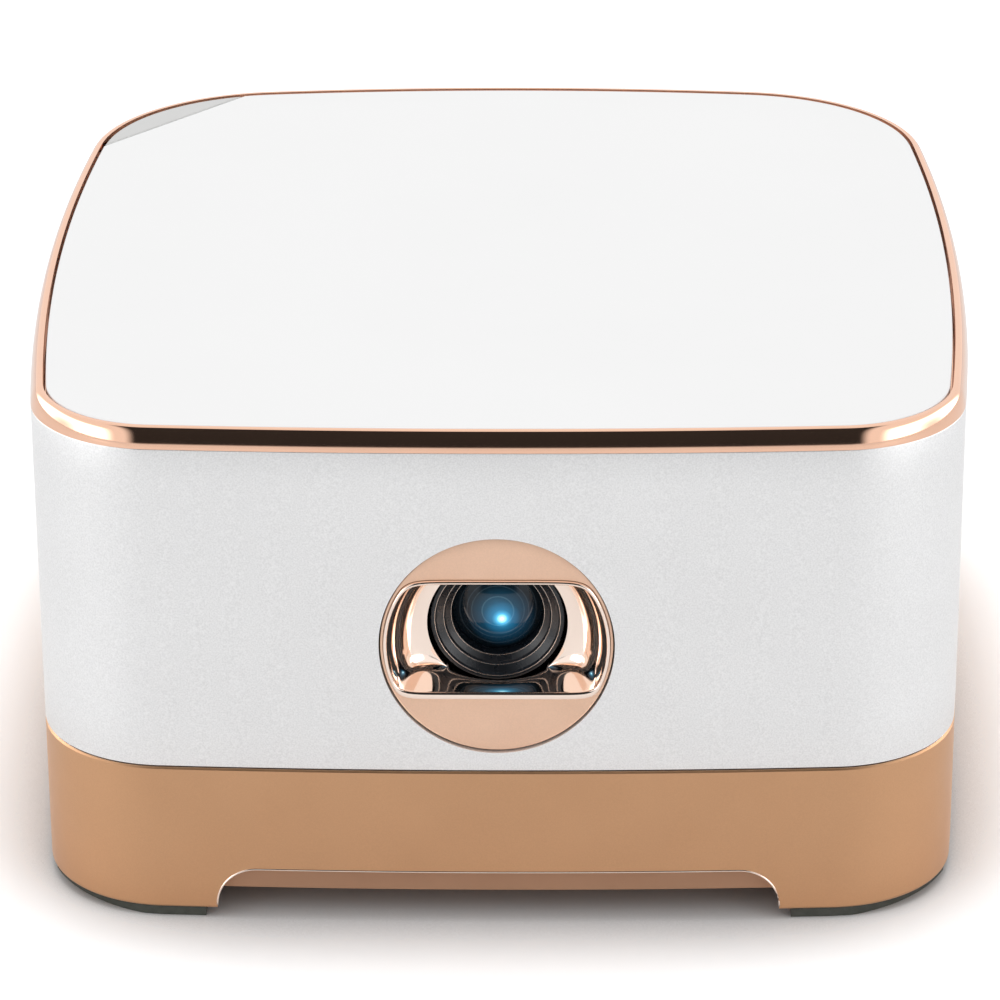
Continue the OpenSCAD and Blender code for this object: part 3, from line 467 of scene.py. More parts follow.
COPPER = Finish("copper", (0.72, 0.33, 0.18), 0.3, 1.0, 0.15, 6 * MM, 0.01 * MM, 0.5 * MM)
PAPER_CONE = Finish("paper_cone", (0.02, 0.02, 0.022), 0.85, 0.0, 0.25, 1.5 * MM, 0.06 * MM, 0.5 * MM)
# Near-black for painted shade: the gap round the lens disc and the screws' cross recesses; also a stand-in
# on cutting tools.
PAINTED_SHADE_BLACK = Finish("painted_shade_black", (0.012, 0.009, 0.008), 0.7, 0.0, 0.1, 3 * MM, 0.01 * MM, 0.5 * MM)

SLOT_FINISHES: dict[str, Finish] = {
    "white_glass": WHITE_GLASS, "grey_glass": GREY_GLASS, "rose_gold": ROSE_GOLD, "white_metal": WHITE_METAL,
    "black_rubber": BLACK_RUBBER, "champagne_metal": CHAMPAGNE, "champagne_paint": CHAMPAGNE_PAINTED_SHADE,
    "grey_rubber": GREY_RUBBER, "champagne_satin": CHAMPAGNE_SATIN, "black_plastic": BLACK_PLASTIC,
    "dark_acrylic": DARK_ACRYLIC, "brass": BRASS, "nickel": NICKEL, "grey_plastic": GREY_PLASTIC,
    "circuit_board": CIRCUIT_BOARD, "black_epoxy": BLACK_EPOXY, "bare_aluminium": BARE_ALUMINIUM,
    "die_cast": DIE_CAST, "optical_glass": OPTICAL_GLASS, "copper_board": COPPER_BOARD, "copper": COPPER,
    "steel": STEEL, "coated_glass": OPTICAL_GLASS, "paper_cone": PAPER_CONE,
}


# ------------------------------------------------------------------- meshes


class Shading(Enum):
    """How a mesh's normals are treated."""

    SMOOTH = 180.0
    FINE_CREASED = 12.0
    CREASED = 32.0
    SOFT_CREASED = 50.0


def from_bmesh(name: str, mesh: Mesh, finish: Finish, shading: Shading = Shading.CREASED) -> Thing:
    """Turns a finished bmesh into an object in the scene.

    Args:
        name: The piece's name.
        mesh: The geometry; it is freed.
        finish: What it is made of.
        shading: How its normals are treated.

    Returns:
        The new object.
    """
    data = bpy.data.meshes.new(name)
    bmesh.ops.recalc_face_normals(mesh, faces=mesh.faces)
    mesh.to_mesh(data)
    mesh.free()
    data.materials.append(finish.material())
    data.shade_smooth()
    if shading is not Shading.SMOOTH:
        data.set_sharp_from_angle(angle=math.radians(shading.value))
    thing = bpy.data.objects.new(name, data)
    bpy.context.scene.collection.objects.link(thing)
    return thing


def loft(rings: Sequence[Sequence[Vector]], closed: bool = False, caps: bool = False) -> Mesh:
    """Skins rings that have the same number of points.

    Args:
        rings: The rings, in order.
        closed: Whether the last ring joins the first.
        caps: Whether the first and last rings are filled.

    Returns:
        The skinned mesh.
    """
    mesh = bmesh.new()
    rows = [[mesh.verts.new(p) for p in ring] for ring in rings]
    count = len(rows[0])
    pairs = list(zip(rows, rows[1:])) + ([(rows[-1], rows[0])] if closed else [])
    for a, b in pairs:
        for i in range(count):
            j = (i + 1) % count
            mesh.faces.new((a[i], a[j], b[j], b[i]))
    if caps:
        mesh.faces.new(rows[0])
        mesh.faces.new(rows[-1])
    return mesh


def mesh_faces(mesh: Mesh, lower: Sequence[bmesh.types.BMVert],
               upper: Sequence[bmesh.types.BMVert]) -> None:
    """Skins two rows of vertices, which may differ by a point or two.

    Args:
        mesh: The mesh that gets the faces.
        lower: One closed row.
        upper: The next row.
    """
    n, m = len(lower), len(upper)
    i = j = 0
    while i < n or j < m:
        a, b = lower[i % n], upper[j % m]
        if i < n and j < m and abs((i + 1) / n - (j + 1) / m) < 0.6 / max(n, m):
            mesh.faces.new((a, lower[(i + 1) % n], upper[(j + 1) % m], b))
            i, j = i + 1, j + 1
        elif j >= m or (i < n and (i + 1) / n <= (j + 1) / m):
            mesh.faces.new((a, lower[(i + 1) % n], b))
            i += 1
        else:
            mesh.faces.new((a, upper[(j + 1) % m], b))
            j += 1


def prism(outline: Sequence[Vector], offset: Vector) -> Mesh:
    """Extrudes a closed outline along an offset."""
    return loft([outline, [p + offset for p in outline]], caps=True)


def lathe(profile: Sequence[Pair], centre: Vector, steps: int = 128, caps: bool = True) -> Mesh:
    """Turns (radius, y) points about a line along Y through the centre.

    Args:
        profile: The points, in order.
        centre: A point of the axis.
        steps: How many points a turn has.
        caps: Whether the ends are filled.

    Returns:
        The turned mesh.
    """
    rings = []
    for radius, y in profile:
        rings.append([
            Vector((centre.x + radius * math.cos(t), y, centre.z + radius * math.sin(t)))
            for t in (2 * math.pi * i / steps for i in range(steps))
        ])
    return loft(rings, caps=caps)


def block(low: Vector, high: Vector, radius: float = 0.0) -> Mesh:
    """Makes a box with rounded edges.

    Args:
        low: Its lowest corner.
        high: Its highest corner.
        radius: How far its edges are cut back.

    Returns:
        The box.
    """
    mesh = bmesh.new()
    bmesh.ops.create_cube(mesh, size=1.0)
    for vert in mesh.verts:
        vert.co = Vector(low[i] + (vert.co[i] + 0.5) * (high[i] - low[i]) for i in range(3))
    if radius:
        bmesh.ops.bevel(mesh, geom=mesh.edges[:], offset=radius, segments=3, affect="EDGES", profile=0.5)
    return mesh


def merged(parts: Iterable[Mesh]) -> Mesh:
    """Joins several meshes into one.

    Args:
        parts: The meshes; they are freed.

    Returns:
        One mesh.
    """
    total = bmesh.new()
    for part in parts:
        data = bpy.data.meshes.new("part")
        part.to_mesh(data)
        part.free()
        total.from_mesh(data)
        bpy.data.meshes.remove(data)
    return total


def cut(thing: Thing, cutters: Iterable[Mesh], shading: Shading = Shading.CREASED) -> None:
    """Takes the cutters' volume away from an object.

    Args:
        thing: The object.
        cutters: The tools, in order; they are freed.
        shading: How the result's normals are treated.
    """
    for number, mesh in enumerate(cutters):
        tool = from_bmesh(f"cutter_{number}", mesh, PAINTED_SHADE_BLACK, Shading.SMOOTH)
        tool.data.materials.clear()
        tool.data.materials.append(thing.data.materials[0])
        modifier = thing.modifiers.new("cut", "BOOLEAN")
        modifier.operation = "DIFFERENCE"
        modifier.solver = "EXACT"
        modifier.object = tool
        graph = bpy.context.evaluated_depsgraph_get()
        result = bpy.data.meshes.new_from_object(thing.evaluated_get(graph))
        thing.modifiers.clear()
        thing.data = result
        bpy.data.objects.remove(tool)
    thing.data.shade_smooth()
    thing.data.set_sharp_from_angle(angle=math.radians(shading.value))


def rounded(width: float, height: float, radius: float, steps: int = 8) -> list[Pair]:
    """Gives a rounded rectangle's points about its centre.

    Args:
        width: Its width.
        height: Its height.
        radius: The corners' radius.
        steps: How many segments a corner has.

    Returns:
        The points, anticlockwise.
    """
    points = []
    for corner, (sx, sy) in enumerate(((1, 1), (-1, 1), (-1, -1), (1, -1))):
        for i in range(steps + 1):
            t = math.pi / 2 * (corner + i / steps)
            points.append((
                sx * (width / 2 - radius) + radius * math.cos(t),
                sy * (height / 2 - radius) + radius * math.sin(t),
            ))
    return points


def upright(points: Sequence[Pair], x: float, y: float, z: float) -> list[Vector]:
    """Stands a flat outline up in a plane that faces -Y."""
    return [Vector((x + u, y, z + v)) for u, v in points]


def between(a: Sequence[Pair], b: Sequence[Pair], share: float) -> list[Pair]:
    """Gives the points a share of the way from one flat outline to another."""
    return [((1 - share) * p[0] + share * q[0], (1 - share) * p[1] + share * q[1]) for p, q in zip(a, b)]


def place(thing: Thing, body: str, slot: str, *nodes: str) -> None:
    """Puts a piece on its body and hides the nodes it stands for.

    Args:
        thing: The piece.
        body: The body that carries it.
        slot: Its material slot; not used.
        *nodes: The CAD nodes that it stands for.
    """
    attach(thing, body)
    if nodes:
        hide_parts(*nodes)
    log.info("%s rides on %s", thing.name, body)


def centre_of(node: str) -> Vector:
    """Gives the middle of a CAD node's box."""
    low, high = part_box(node)
    return (low + high) / 2


# ------------------------------------------------------------- plan outline


@dataclass
class Outline:
    """The plan of the case: three bowed sides and four rounded corners."""

    half_width: float
    half_depth: float
    front_corner: float = 26 * MM
    rear_corner: float = 42 * MM
    front_bow: float = 3.8 * MM
    side_bow: float = 7.5 * MM
    rear_bow: float = 9 * MM
    step: float = 1.1 * MM

    def __post_init__(self) -> None:
        """Works out the arcs, then samples points and outward normals."""
        front = self._bow(self.half_width, self.front_bow)
        rear = self._bow(self.half_width, self.rear_bow)
        side = self._bow(self.half_depth, self.side_bow)
        self.front_centre = Vector((0, front - self.half_depth))
        self.rear_centre = Vector((0, self.half_depth - rear))
        side_centre = Vector((self.half_width - side, 0))
        self.front_corner_centre = self._meet(
            self.front_centre, front - self.front_corner, side_centre, side - self.front_corner, 1)
        self.rear_corner_centre = self._meet(
            self.rear_centre, rear - self.rear_corner, side_centre, side - self.rear_corner, -1)
        front_turn = self._angle(self.front_centre, self.front_corner_centre)
        side_front = self._angle(side_centre, self.front_corner_centre)
        side_rear = self._angle(side_centre, self.rear_corner_centre)
        rear_turn = self._angle(self.rear_centre, self.rear_corner_centre)
        arcs = [
            (self.front_centre, front, -math.pi / 2, front_turn),
            (self.front_corner_centre, self.front_corner, front_turn, side_front),
            (side_centre, side, side_front, side_rear),
            (self.rear_corner_centre, self.rear_corner, side_rear, rear_turn),
            (self.rear_centre, rear, rear_turn, math.pi / 2),
        ]
        right: list[tuple[Vector, Vector]] = []
        for centre, radius, a, b in arcs:
            count = max(4, round(abs(b - a) * radius / self.step))
            for i in range(count):
                t = a + (b - a) * i / count
                normal = Vector((math.cos(t), math.sin(t)))
                right.append((centre + radius * normal, normal))
        top = (Vector((0, self.half_depth)), Vector((0, 1)))
        left = [(Vector((-p.x, p.y)), Vector((-n.x, n.y))) for p, n in reversed(right[1:])]
        self.samples = right + [top] + left

    @staticmethod
    def _bow(half: float, rise: float) -> float:
        """Gives the radius of an arc of that half chord and rise."""
        return (half * half + rise * rise) / (2 * rise)

    @staticmethod
    def _meet(p: Vector, rp: float, q: Vector, rq: float, side: int) -> Vector:
        """Gives the point at two distances from two centres.

        Args:
            p: The first centre.
            rp: The distance from it.
            q: The second centre.
            rq: The distance from it.
            side: 1 for the point left of the way from p to q, -1 for right.

        Returns:
            The point.
        """
        gap = (q - p).length
        u = (q - p) / gap
        along = (rp * rp - rq * rq + gap * gap) / (2 * gap)
        off = math.sqrt(rp * rp - along * along)
        return p + along * u + side * off * Vector((-u.y, u.x))

    @staticmethod
    def _angle(centre: Vector, to: Vector) -> float:
        """Gives the direction from one point to another."""
        return math.atan2(to.y - centre.y, to.x - centre.x)

    def ring(self, inset: float, z: float) -> list[Vector]:
        """Gives the outline moved in by an inset, at a height."""
        return [Vector((p.x - inset * n.x, p.y - inset * n.y, z)) for p, n in self.samples]

    def rear_y(self, x: float, inset: float = 0.0) -> float:
        """Gives the rear wall's Y at x."""
        radius = self.half_depth - self.rear_centre.y - inset
        return self.rear_centre.y + math.sqrt(radius * radius - x * x)


def bead(inset: float, z: float, radius: float, start: float, end: float, steps: int = 8) -> list[Pair]:
    """Gives (inset, z) points round an edge; angle 0 faces out, 90 up.

    Args:
        inset: The arc's centre, in from the outline.
        z: The arc's centre, in height.
        radius: Its radius.
        start: Its first angle, in degrees.
        end: Its last angle, in degrees.
        steps: How many segments it has.

    Returns:
        The points.
    """
    return [
        (inset - radius * math.cos(math.radians(a)), z + radius * math.sin(math.radians(a)))
        for a in (start + (end - start) * i / steps for i in range(steps + 1))
    ]


def swept(outline: Outline, profile: Sequence[Pair], closed: bool = True) -> Mesh:
    """Sweeps (inset, z) points round the outline."""
    return loft([outline.ring(inset, z) for inset, z in profile], closed=closed)


# ------------------------------------------------------------ sub-assemblies


@dataclass
class TopDeck:
    """The glass top, its corner power key and the polished ring round them."""

    outline: Outline
    trim_width: float = 3.0 * MM
    roll_start: float = 20.0
    roll_width: float = 1.9 * MM
    glass_gap: float = 0.12 * MM
    key_angle: float = math.radians(140)
    key_chord: float = 31.7 * MM
    key_gap: float = 0.35 * MM

    def trim(self) -> None:
        """Makes the ring: a face that rolls over to a rounded top edge."""
        low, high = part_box("trim_ring")
        start = math.radians(self.roll_start)
        tall = (high.z - low.z) / (1 - math.sin(start))
        wide = self.roll_width / math.cos(start)
        profile = [(0.1 * MM, low.z)]
        for k in range(23):
            t = start + (math.pi / 2 - start) * k / 22
            out = wide * (math.cos(start) - math.cos(t))
            profile.append((out, low.z + tall * (math.sin(t) - math.sin(start))))
        profile += bead(self.trim_width - 0.3 * MM, high.z - 0.3 * MM, -0.3 * MM, -90, -180, 4)[1:]
        profile += [(self.trim_width, low.z + 1.5 * MM), (self.trim_width + 3 * MM, low.z + 1.5 * MM),
                    (self.trim_width + 3 * MM, low.z)]
        ring = swept(self.outline, profile)
        thing = from_bmesh("trim_ring_polished", ring, ROSE_GOLD, Shading.SOFT_CREASED)
        place(thing, "case", "rose_gold", "trim_ring")

    def _beyond(self, point: Vector) -> float:
        """Gives how far a point lies beyond the seam of the key.

        Args:
            point: The point.

        Returns:
            The distance, negative on the glass's side.
        """
        centre = self.outline.rear_corner_centre
        offset = Vector((point.x + centre.x, point.y - centre.y))
        direction = Vector((math.cos(self.key_angle), math.sin(self.key_angle)))
        return offset.dot(direction) - self.key_chord

    def _clip(self, ring: Sequence[Vector], at: float, keep_beyond: bool) -> list[Vector]:
        """Cuts a ring of points along the seam line.

        Args:
            ring: The closed ring.
            at: The cut's distance past the seam.
            keep_beyond: Whether the far side is kept.

        Returns:
            The kept points.
        """
        kept: list[Vector] = []
        sign = 1 if keep_beyond else -1
        for a, b in zip(ring, list(ring[1:]) + [ring[0]]):
            da, db = sign * (self._beyond(a) - at), sign * (self._beyond(b) - at)
            if da >= 0:
                kept.append(a)
            if (da >= 0) != (db >= 0):
                kept.append(a.lerp(b, da / (da - db)))
        return kept

    def _slab(self, name: str, inset: float, low: float, high: float, at: float, beyond: bool,
              finish: Finish) -> Thing:
        """Makes a slab whose top edge has a fine ground chamfer.

        Args:
            name: The piece's name.
            inset: How far it stays in from the outline.
            low: Its underside.
            high: Its top.
            at: Its cut's distance past the seam.
            beyond: Whether it lies beyond the seam.
            finish: What it is made of.

        Returns:
            The slab.
        """
        chamfer = 0.25 * MM
        levels = [(0.0, low), (0.0, high - chamfer), (chamfer * 0.3, high - chamfer * 0.3), (chamfer, high)]
        side = 1 if beyond else -1
        mesh = bmesh.new()
        rows = []
        for shrink, z in levels:
            ring = self._clip(self.outline.ring(inset + shrink, z), at + side * shrink, beyond)
            rows.append([mesh.verts.new(p) for p in ring])
        for lower, upper in zip(rows, rows[1:]):
            mesh_faces(mesh, lower, upper)
        mesh.faces.new(rows[0])
        mesh.faces.new(rows[-1])
        return from_bmesh(name, mesh, finish, Shading.FINE_CREASED)

    def glass(self) -> None:
        """Makes the white glass that covers the top."""
        low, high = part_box("top_glass")
        inset = self.trim_width + self.glass_gap
        thing = self._slab("top_glass_white", inset, low.z, high.z, 0.0, False, WHITE_GLASS)
        place(thing, "case", "white_glass", "top_glass")

    def key(self) -> None:
        """Makes the power key in the left rear corner."""
        low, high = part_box("power_key")
        thing = self._slab("power_key_glass", self.trim_width + 0.3 * MM, high.z - 1.3 * MM, high.z,
                           self.key_gap, True, GREY_GLASS)
        centre = self.outline.rear_corner_centre
        direction = Vector((math.cos(self.key_angle), math.sin(self.key_angle)))
        at = Vector((-centre.x, centre.y)) + direction * (self.key_chord + 2.1 * MM)
        stem = lathe([(1.5 * MM, 0), (1.5 * MM, high.z - low.z - 0.8 * MM)], Vector((0, 0, 0)), 32)
        turn = Matrix.Translation((at.x, at.y, low.z)) @ Matrix.Rotation(math.pi / 2, 4, "X")
        bmesh.ops.transform(stem, matrix=turn, verts=stem.verts)
        post = from_bmesh("power_key_stem", stem, GREY_PLASTIC)
        place(post, "power_key", "grey_glass")
        place(thing, "power_key", "grey_glass", "power_key")

    def build(self) -> None:
        """Builds the whole top."""
        self.trim()
        self.glass()
        self.key()


@dataclass
class Sleeve:
    """The blasted aluminium sleeve, with its window, slots and rear opening."""

    outline: Outline
    wall: float = 1.8 * MM
    window: float = 22.75 * MM
    slot_width: float = 1.6 * MM
    slot_pitch: float = 4 * MM
    slot_height: float = 30 * MM
    slot_count: int = 12
    grille_width: float = 96 * MM
    grille_margin: float = 6 * MM
    grille_corner: float = 8 * MM

    def shell(self) -> Thing:
        """Makes the wall, with broken edges at both ends.

        Returns:
            The uncut sleeve.
        """
        low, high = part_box("body_sleeve")
        edge = 0.2 * MM
        rows = 8
        profile = bead(edge, low.z + edge, edge, -90, 0, 3)
        profile += [(0.0, low.z + (high.z - low.z) * k / rows) for k in range(1, rows)]
        profile += bead(edge, high.z - edge, edge, 0, 90, 3)
        profile += [(self.wall, high.z), (self.wall, low.z)]
        return from_bmesh("sleeve_blasted", swept(self.outline, profile), WHITE_METAL)

    def cutters(self) -> list[Mesh]:
        """Makes the tools for the window, the slots and the rear opening.

        Returns:
            The tools.
        """
        lens = centre_of("lens_bezel")
        depth = self.outline.half_depth
        window = lathe([(self.window, -depth - 5 * MM), (self.window, -depth + 15 * MM)], lens, 160)
        speaker = centre_of("right_speaker")
        slots = []
        half = self.slot_width / 2 - 0.01 * MM
        outline = rounded(self.slot_width, self.slot_height, half, 6)
        for side in (-1, 1):
            for i in range(self.slot_count):
                y = speaker.y + (i - (self.slot_count - 1) / 2 - 0.5) * self.slot_pitch
                x = side * (self.outline.half_width - 14 * MM)
                ring = [Vector((x, y + u, speaker.z + v)) for u, v in outline]
                slots.append(prism(ring, Vector((side * 20 * MM, 0, 0))))
        low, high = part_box("rear_grille")
        grille = rounded(self.grille_width, high.z - low.z - self.grille_margin, self.grille_corner)
        rear = prism(upright(grille, 0, depth / 4, (low.z + high.z) / 2), Vector((0, depth, 0)))
        return [window, merged(slots), rear]

    def build(self) -> None:
        """Builds the sleeve."""
        thing = self.shell()
        cut(thing, self.cutters())
        place(thing, "case", "white_metal", "body_sleeve")


@dataclass
class Base:
    """The champagne skirt under the sleeve, its notch and bright top edge."""

    outline: Outline
    wall: float = 2 * MM
    notch_width: float = 111 * MM
    notch_height: float = 9 * MM
    notch_radius: float = 8 * MM
    port_width: float = 104 * MM

    def opening(self) -> list[Pair]:
        """Gives the notch's outline about its middle at floor level."""
        return rounded(self.notch_width, 2 * self.notch_height, self.notch_radius, 12)

    def skirt(self) -> None:
        """Makes the skirt, rounded at its foot, and cuts its openings."""
        low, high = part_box("base_skirt")
        foot = 0.9 * MM
        edge = 0.35 * MM
        rows = 7
        profile = [(self.wall, low.z)] + bead(foot, low.z + foot, foot, -90, 0, 6)
        profile += [(0.0, low.z + foot + (high.z - edge - low.z - foot) * k / rows) for k in range(1, rows)]
        profile += [(0.0, high.z - edge), (edge, high.z), (self.wall, high.z)]
        thing = from_bmesh("skirt_champagne", swept(self.outline, profile), CHAMPAGNE)
        depth = self.outline.half_depth
        notch = upright(self.opening(), 0, -depth * 1.5, low.z)
        port_low, port_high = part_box("io_plate")
        middle = (port_low.z + 0.4 * MM + port_high.z - 2.5 * MM) / 2
        height = port_high.z - port_low.z - 2.9 * MM
        ports = upright(rounded(self.port_width, height, 3 * MM), 0, depth / 4, middle)
        cut(thing, [prism(notch, Vector((0, depth, 0))), prism(ports, Vector((0, depth, 0)))])
        place(thing, "case", "champagne_metal", "base_skirt")

    def edges(self) -> None:
        """Makes the bright cut line on the skirt's top edge."""
        low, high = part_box("base_skirt")
        line = 0.38 * MM
        thick = 0.1 * MM
        profile = [(0.0, high.z - line), (line, high.z + 0.01 * MM), (line + thick, high.z - thick)]
        profile.append((thick, high.z - line - thick))
        thing = from_bmesh("skirt_bright_edge", swept(self.outline, profile), BRIGHT_EDGE)
        place(thing, "case", "champagne_metal")

    def notch_highlight_bead(self) -> None:
        """Makes a thin bright metal bead round the notch: a painted highlight along its edge."""
        low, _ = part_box("base_skirt")
        depth = self.outline.half_depth
        path = [(u, v) for u, v in self.opening() if v >= 0]
        path.sort(key=lambda q: -math.atan2(q[1], q[0]))
        dense: list[Pair] = []
        for a, b in zip(path, path[1:]):
            count = max(1, round(math.dist(a, b) / (2 * MM)))
            dense += [
                (a[0] + (b[0] - a[0]) * i / count, a[1] + (b[1] - a[1]) * i / count)
                for i in range(count)
            ]
        dense.append(path[-1])
        radius = depth + self.outline.front_centre.y
        wire = 0.22 * MM
        rings = []
        for a, b in zip(dense, dense[1:] + dense[-2:-1]):
            x, z = a[0], low.z + max(a[1], 0.4 * MM)
            y = self.outline.front_centre.y - math.sqrt(radius * radius - x * x)
            along = Vector((b[0] - a[0], b[1] - a[1])).normalized()
            if b == dense[-2]:
                along = -along
            inward = Vector((along.y, -along.x))
            rings.append([
                Vector((x + inward.x * wire * math.cos(t), y + 0.08 * MM - wire * math.sin(t),
                        z + inward.y * wire * math.cos(t)))
                for t in (2 * math.pi * k / 8 for k in range(8))
            ])
        # The bead is a painted highlight on the notch's edge.
        thing = from_bmesh("notch_painted_highlight", loft(rings, caps=True), BRIGHT_EDGE, Shading.SMOOTH)
        place(thing, "case", "champagne_metal")

    def build(self) -> None:
        """Builds the base."""
        self.skirt()
        self.edges()
        self.notch_highlight_bead()


@dataclass
class LensWindow:
    """The round champagne window with its polished pocket."""

    centre: Vector
    radius: float = 22.5 * MM
    pocket: float = 21.2 * MM
    up: float = 13.1 * MM
    down: float = 9.8 * MM
    lip_drop: float = 0.9 * MM
    squareness: float = 16.0
    throat: float = 13.7 * MM
    rim: float = 0.7 * MM
    travel: float = 1.75 * MM
    steps: int = 180

    def outline(self, grow: float, drop: float = 0.0) -> list[Pair]:
        """Gives the pocket's opening as points at even angles.

        Args:
            grow: How far it is moved out.
            drop: How much deeper the lower edge is.

        Returns:
            (x, z) points about the optical axis.
        """
        points = []
        r = self.pocket + grow
        top, bottom = self.up + grow, self.down + grow + drop
        for i in range(self.steps):
            t = 2 * math.pi * i / self.steps
            c, s = math.cos(t), math.sin(t)
            flat = (top / s) if s > 1e-6 else (bottom / -s if s < -1e-6 else 1.0)
            flat = min(flat, 1.0)
            power = self.squareness
            length = (r ** -power + flat ** -power) ** (-1 / power)
            points.append((length * c, length * s))
        return points

    def circle(self, radius: float) -> list[Pair]:
        """Gives a circle's points about the optical axis."""
        turns = [2 * math.pi * i / self.steps for i in range(self.steps)]
        return [(radius * math.cos(t), radius * math.sin(t)) for t in turns]

    def ring(self, points: Sequence[Pair], y: float) -> list[Vector]:
        """Stands pocket points up at a depth."""
        return upright(points, self.centre.x, y, self.centre.z)

    def disc(self) -> None:
        """Makes the satin disc round the pocket."""
        low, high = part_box("lens_bezel")
        circle = self.circle(self.radius)
        inner = self.outline(self.rim + 0.1 * MM, self.lip_drop)
        face = self.ring(self.circle(self.radius - 0.3 * MM), low.y)
        edge = self.ring(inner, low.y)
        rings = [
            self.ring(circle, high.y - 1.9 * MM),
            self.ring(circle, low.y + 0.25 * MM),
            self.ring(self.circle(self.radius - 0.08 * MM), low.y + 0.07 * MM),
            face,
        ]
        rings += [[a.lerp(b, k) for a, b in zip(face, edge)] for k in (0.25, 0.5, 0.75)]
        rings += [edge, self.ring(inner, high.y)]
        thing = from_bmesh("window_disc", loft(rings), CHAMPAGNE_SATIN)
        # A dark ring behind the disc's edge: painted shade for the gap round the disc.
        flange_low = high.y - 1.9 * MM
        section = [(-2 * MM, high.y), (2 * MM, high.y), (2 * MM, flange_low), (-0.1 * MM, flange_low)]
        flange = lathe([(self.radius + out, y) for out, y in section], self.centre, 160, caps=False)
        back = from_bmesh("window_gap_shade", flange, PAINTED_SHADE_BLACK)
        place(thing, "case", "champagne_satin", "lens_bezel")
        place(back, "case", "black_plastic")

    def funnel(self) -> None:
        """Makes the polished pocket from its lip back to the lens."""
        low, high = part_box("lens_pocket")
        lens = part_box("lens_barrel")[0].y
        circle = self.circle(self.throat)
        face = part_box("lens_bezel")[0].y
        front = low.y
        outer = self.outline(self.rim, self.lip_drop)
        inner = self.outline(0.0)
        rings = [self.ring(outer, face + 2 * MM), self.ring(outer, front + 0.35 * MM)]
        for a in (20, 40, 60, 80, 100, 120, 140, 160):
            t = math.radians(a)
            section = between(outer, inner, (1 - math.cos(t)) / 2)
            rings.append(self.ring(section, front + 0.35 * MM * (1 - math.sin(t))))
        rings.append(self.ring(inner, front + 0.4 * MM))
        start = front + 0.7 * MM
        rings.append(self.ring(inner, start))
        turns = 26
        for k in range(1, turns + 1):
            turn = math.pi / 2 * k / turns
            u, close = math.sin(turn), 1 - math.cos(turn)
            rings.append(self.ring(between(inner, circle, close), start + (lens - self.travel - start) * u))
        rings.append(self.ring(circle, lens + 1.2 * MM))
        # The pocket's finish is a lightened copy of the rose gold: painted light.
        thing = from_bmesh("pocket_polished", loft(rings), POCKET_PAINTED_LIGHT_ROSE, Shading.SOFT_CREASED)
        place(thing, "case", "rose_gold", "lens_pocket")

    def build(self) -> None:
        """Builds the window."""
        self.disc()
        self.funnel()


@dataclass
class LensStack:
    """The stepped black barrel and the coated front element, with its painted glow."""

    centre: Vector

    def barrel(self) -> None:
        """Makes the barrel's stepped mouth, each step with a fine bevel."""
        low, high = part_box("lens_barrel")
        back = (high.y - low.y) / MM
        steps = [(12.3, 0.0), (12.0, 0.9), (10.6, 1.5), (10.3, 2.4), (9.2, 3.0), (9.0, 6.2)]
        profile = [(15.05, back), (15.05, 25), (13.1, 25), (13.1, 0.25), (12.95, 0.05), (12.8, 0.0)]
        for (r0, d0), (r1, d1) in zip(steps, steps[1:]):
            profile += [(r0, d0), (r0 - 0.12, d0 + 0.12), (r1 + 0.02, d1 - 0.02)]
        profile += [(9.0, 6.2), (8.9, 9.0)]
        mesh = lathe([(r * MM, low.y + d * MM) for r, d in profile], self.centre, 160, caps=False)
        rear_cone = [(9.0 * MM, low.y + (back - 3) * MM), (15.05 * MM, high.y)]
        rear = lathe(rear_cone, self.centre, 96, caps=False)
        thing = from_bmesh("barrel_stepped", merged([mesh, rear]), LENS_BLACK, Shading.CREASED)
        place(thing, "lens_group", "black_plastic", "lens_barrel")

    def glints(self) -> None:
        """Makes thin bright metal rings on the steps' edges: painted glints that catch the light."""
        low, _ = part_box("lens_barrel")
        wire = 0.045
        rings = []
        for radius, depth in ((12.25, 0.02), (10.55, 1.5), (9.15, 2.98)):
            profile = [(radius + wire * math.cos(t), depth + wire * math.sin(t)) for t in QUARTERS]
            points = [(r * MM, low.y + d * MM) for r, d in profile + profile[:1]]
            rings.append(lathe(points, self.centre, 128, caps=False))
        # These rings are painted glints on the barrel's steps.
        thing = from_bmesh("barrel_painted_glints", merged(rings), BRIGHT_EDGE, Shading.SMOOTH)
        place(thing, "lens_group", "black_plastic")

    def element(self) -> None:
        """Makes the domed front element."""
        low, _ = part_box("lens_barrel")
        rise, edge, depth = 2.6 * MM, 9.0 * MM, 6.0 * MM
        ball = (edge * edge + rise * rise) / (2 * rise)
        profile = []
        for k in range(25):
            r = edge * (k / 24)
            sag = ball - math.sqrt(ball * ball - r * r)
            profile.append((max(r, 0.02 * MM), low.y + depth - rise + sag))
        profile.append((edge, low.y + depth + 0.8 * MM))
        # This finish paints a glow and ring reflections into the front element.
        coating = PaintedLensGlow(
            "lens_painted_glow", (0.01, 0.02, 0.035), 0.06, 0.0, 0.05, 5 * MM, 0.0, centre=self.centre,
        )
        thing = from_bmesh("front_element", lathe(profile, self.centre, 128), coating, Shading.SMOOTH)
        place(thing, "lens_group", "coated_glass", "front_lens")

    def build(self) -> None:
        """Builds the lens."""
        self.barrel()
        self.glints()
        self.element()


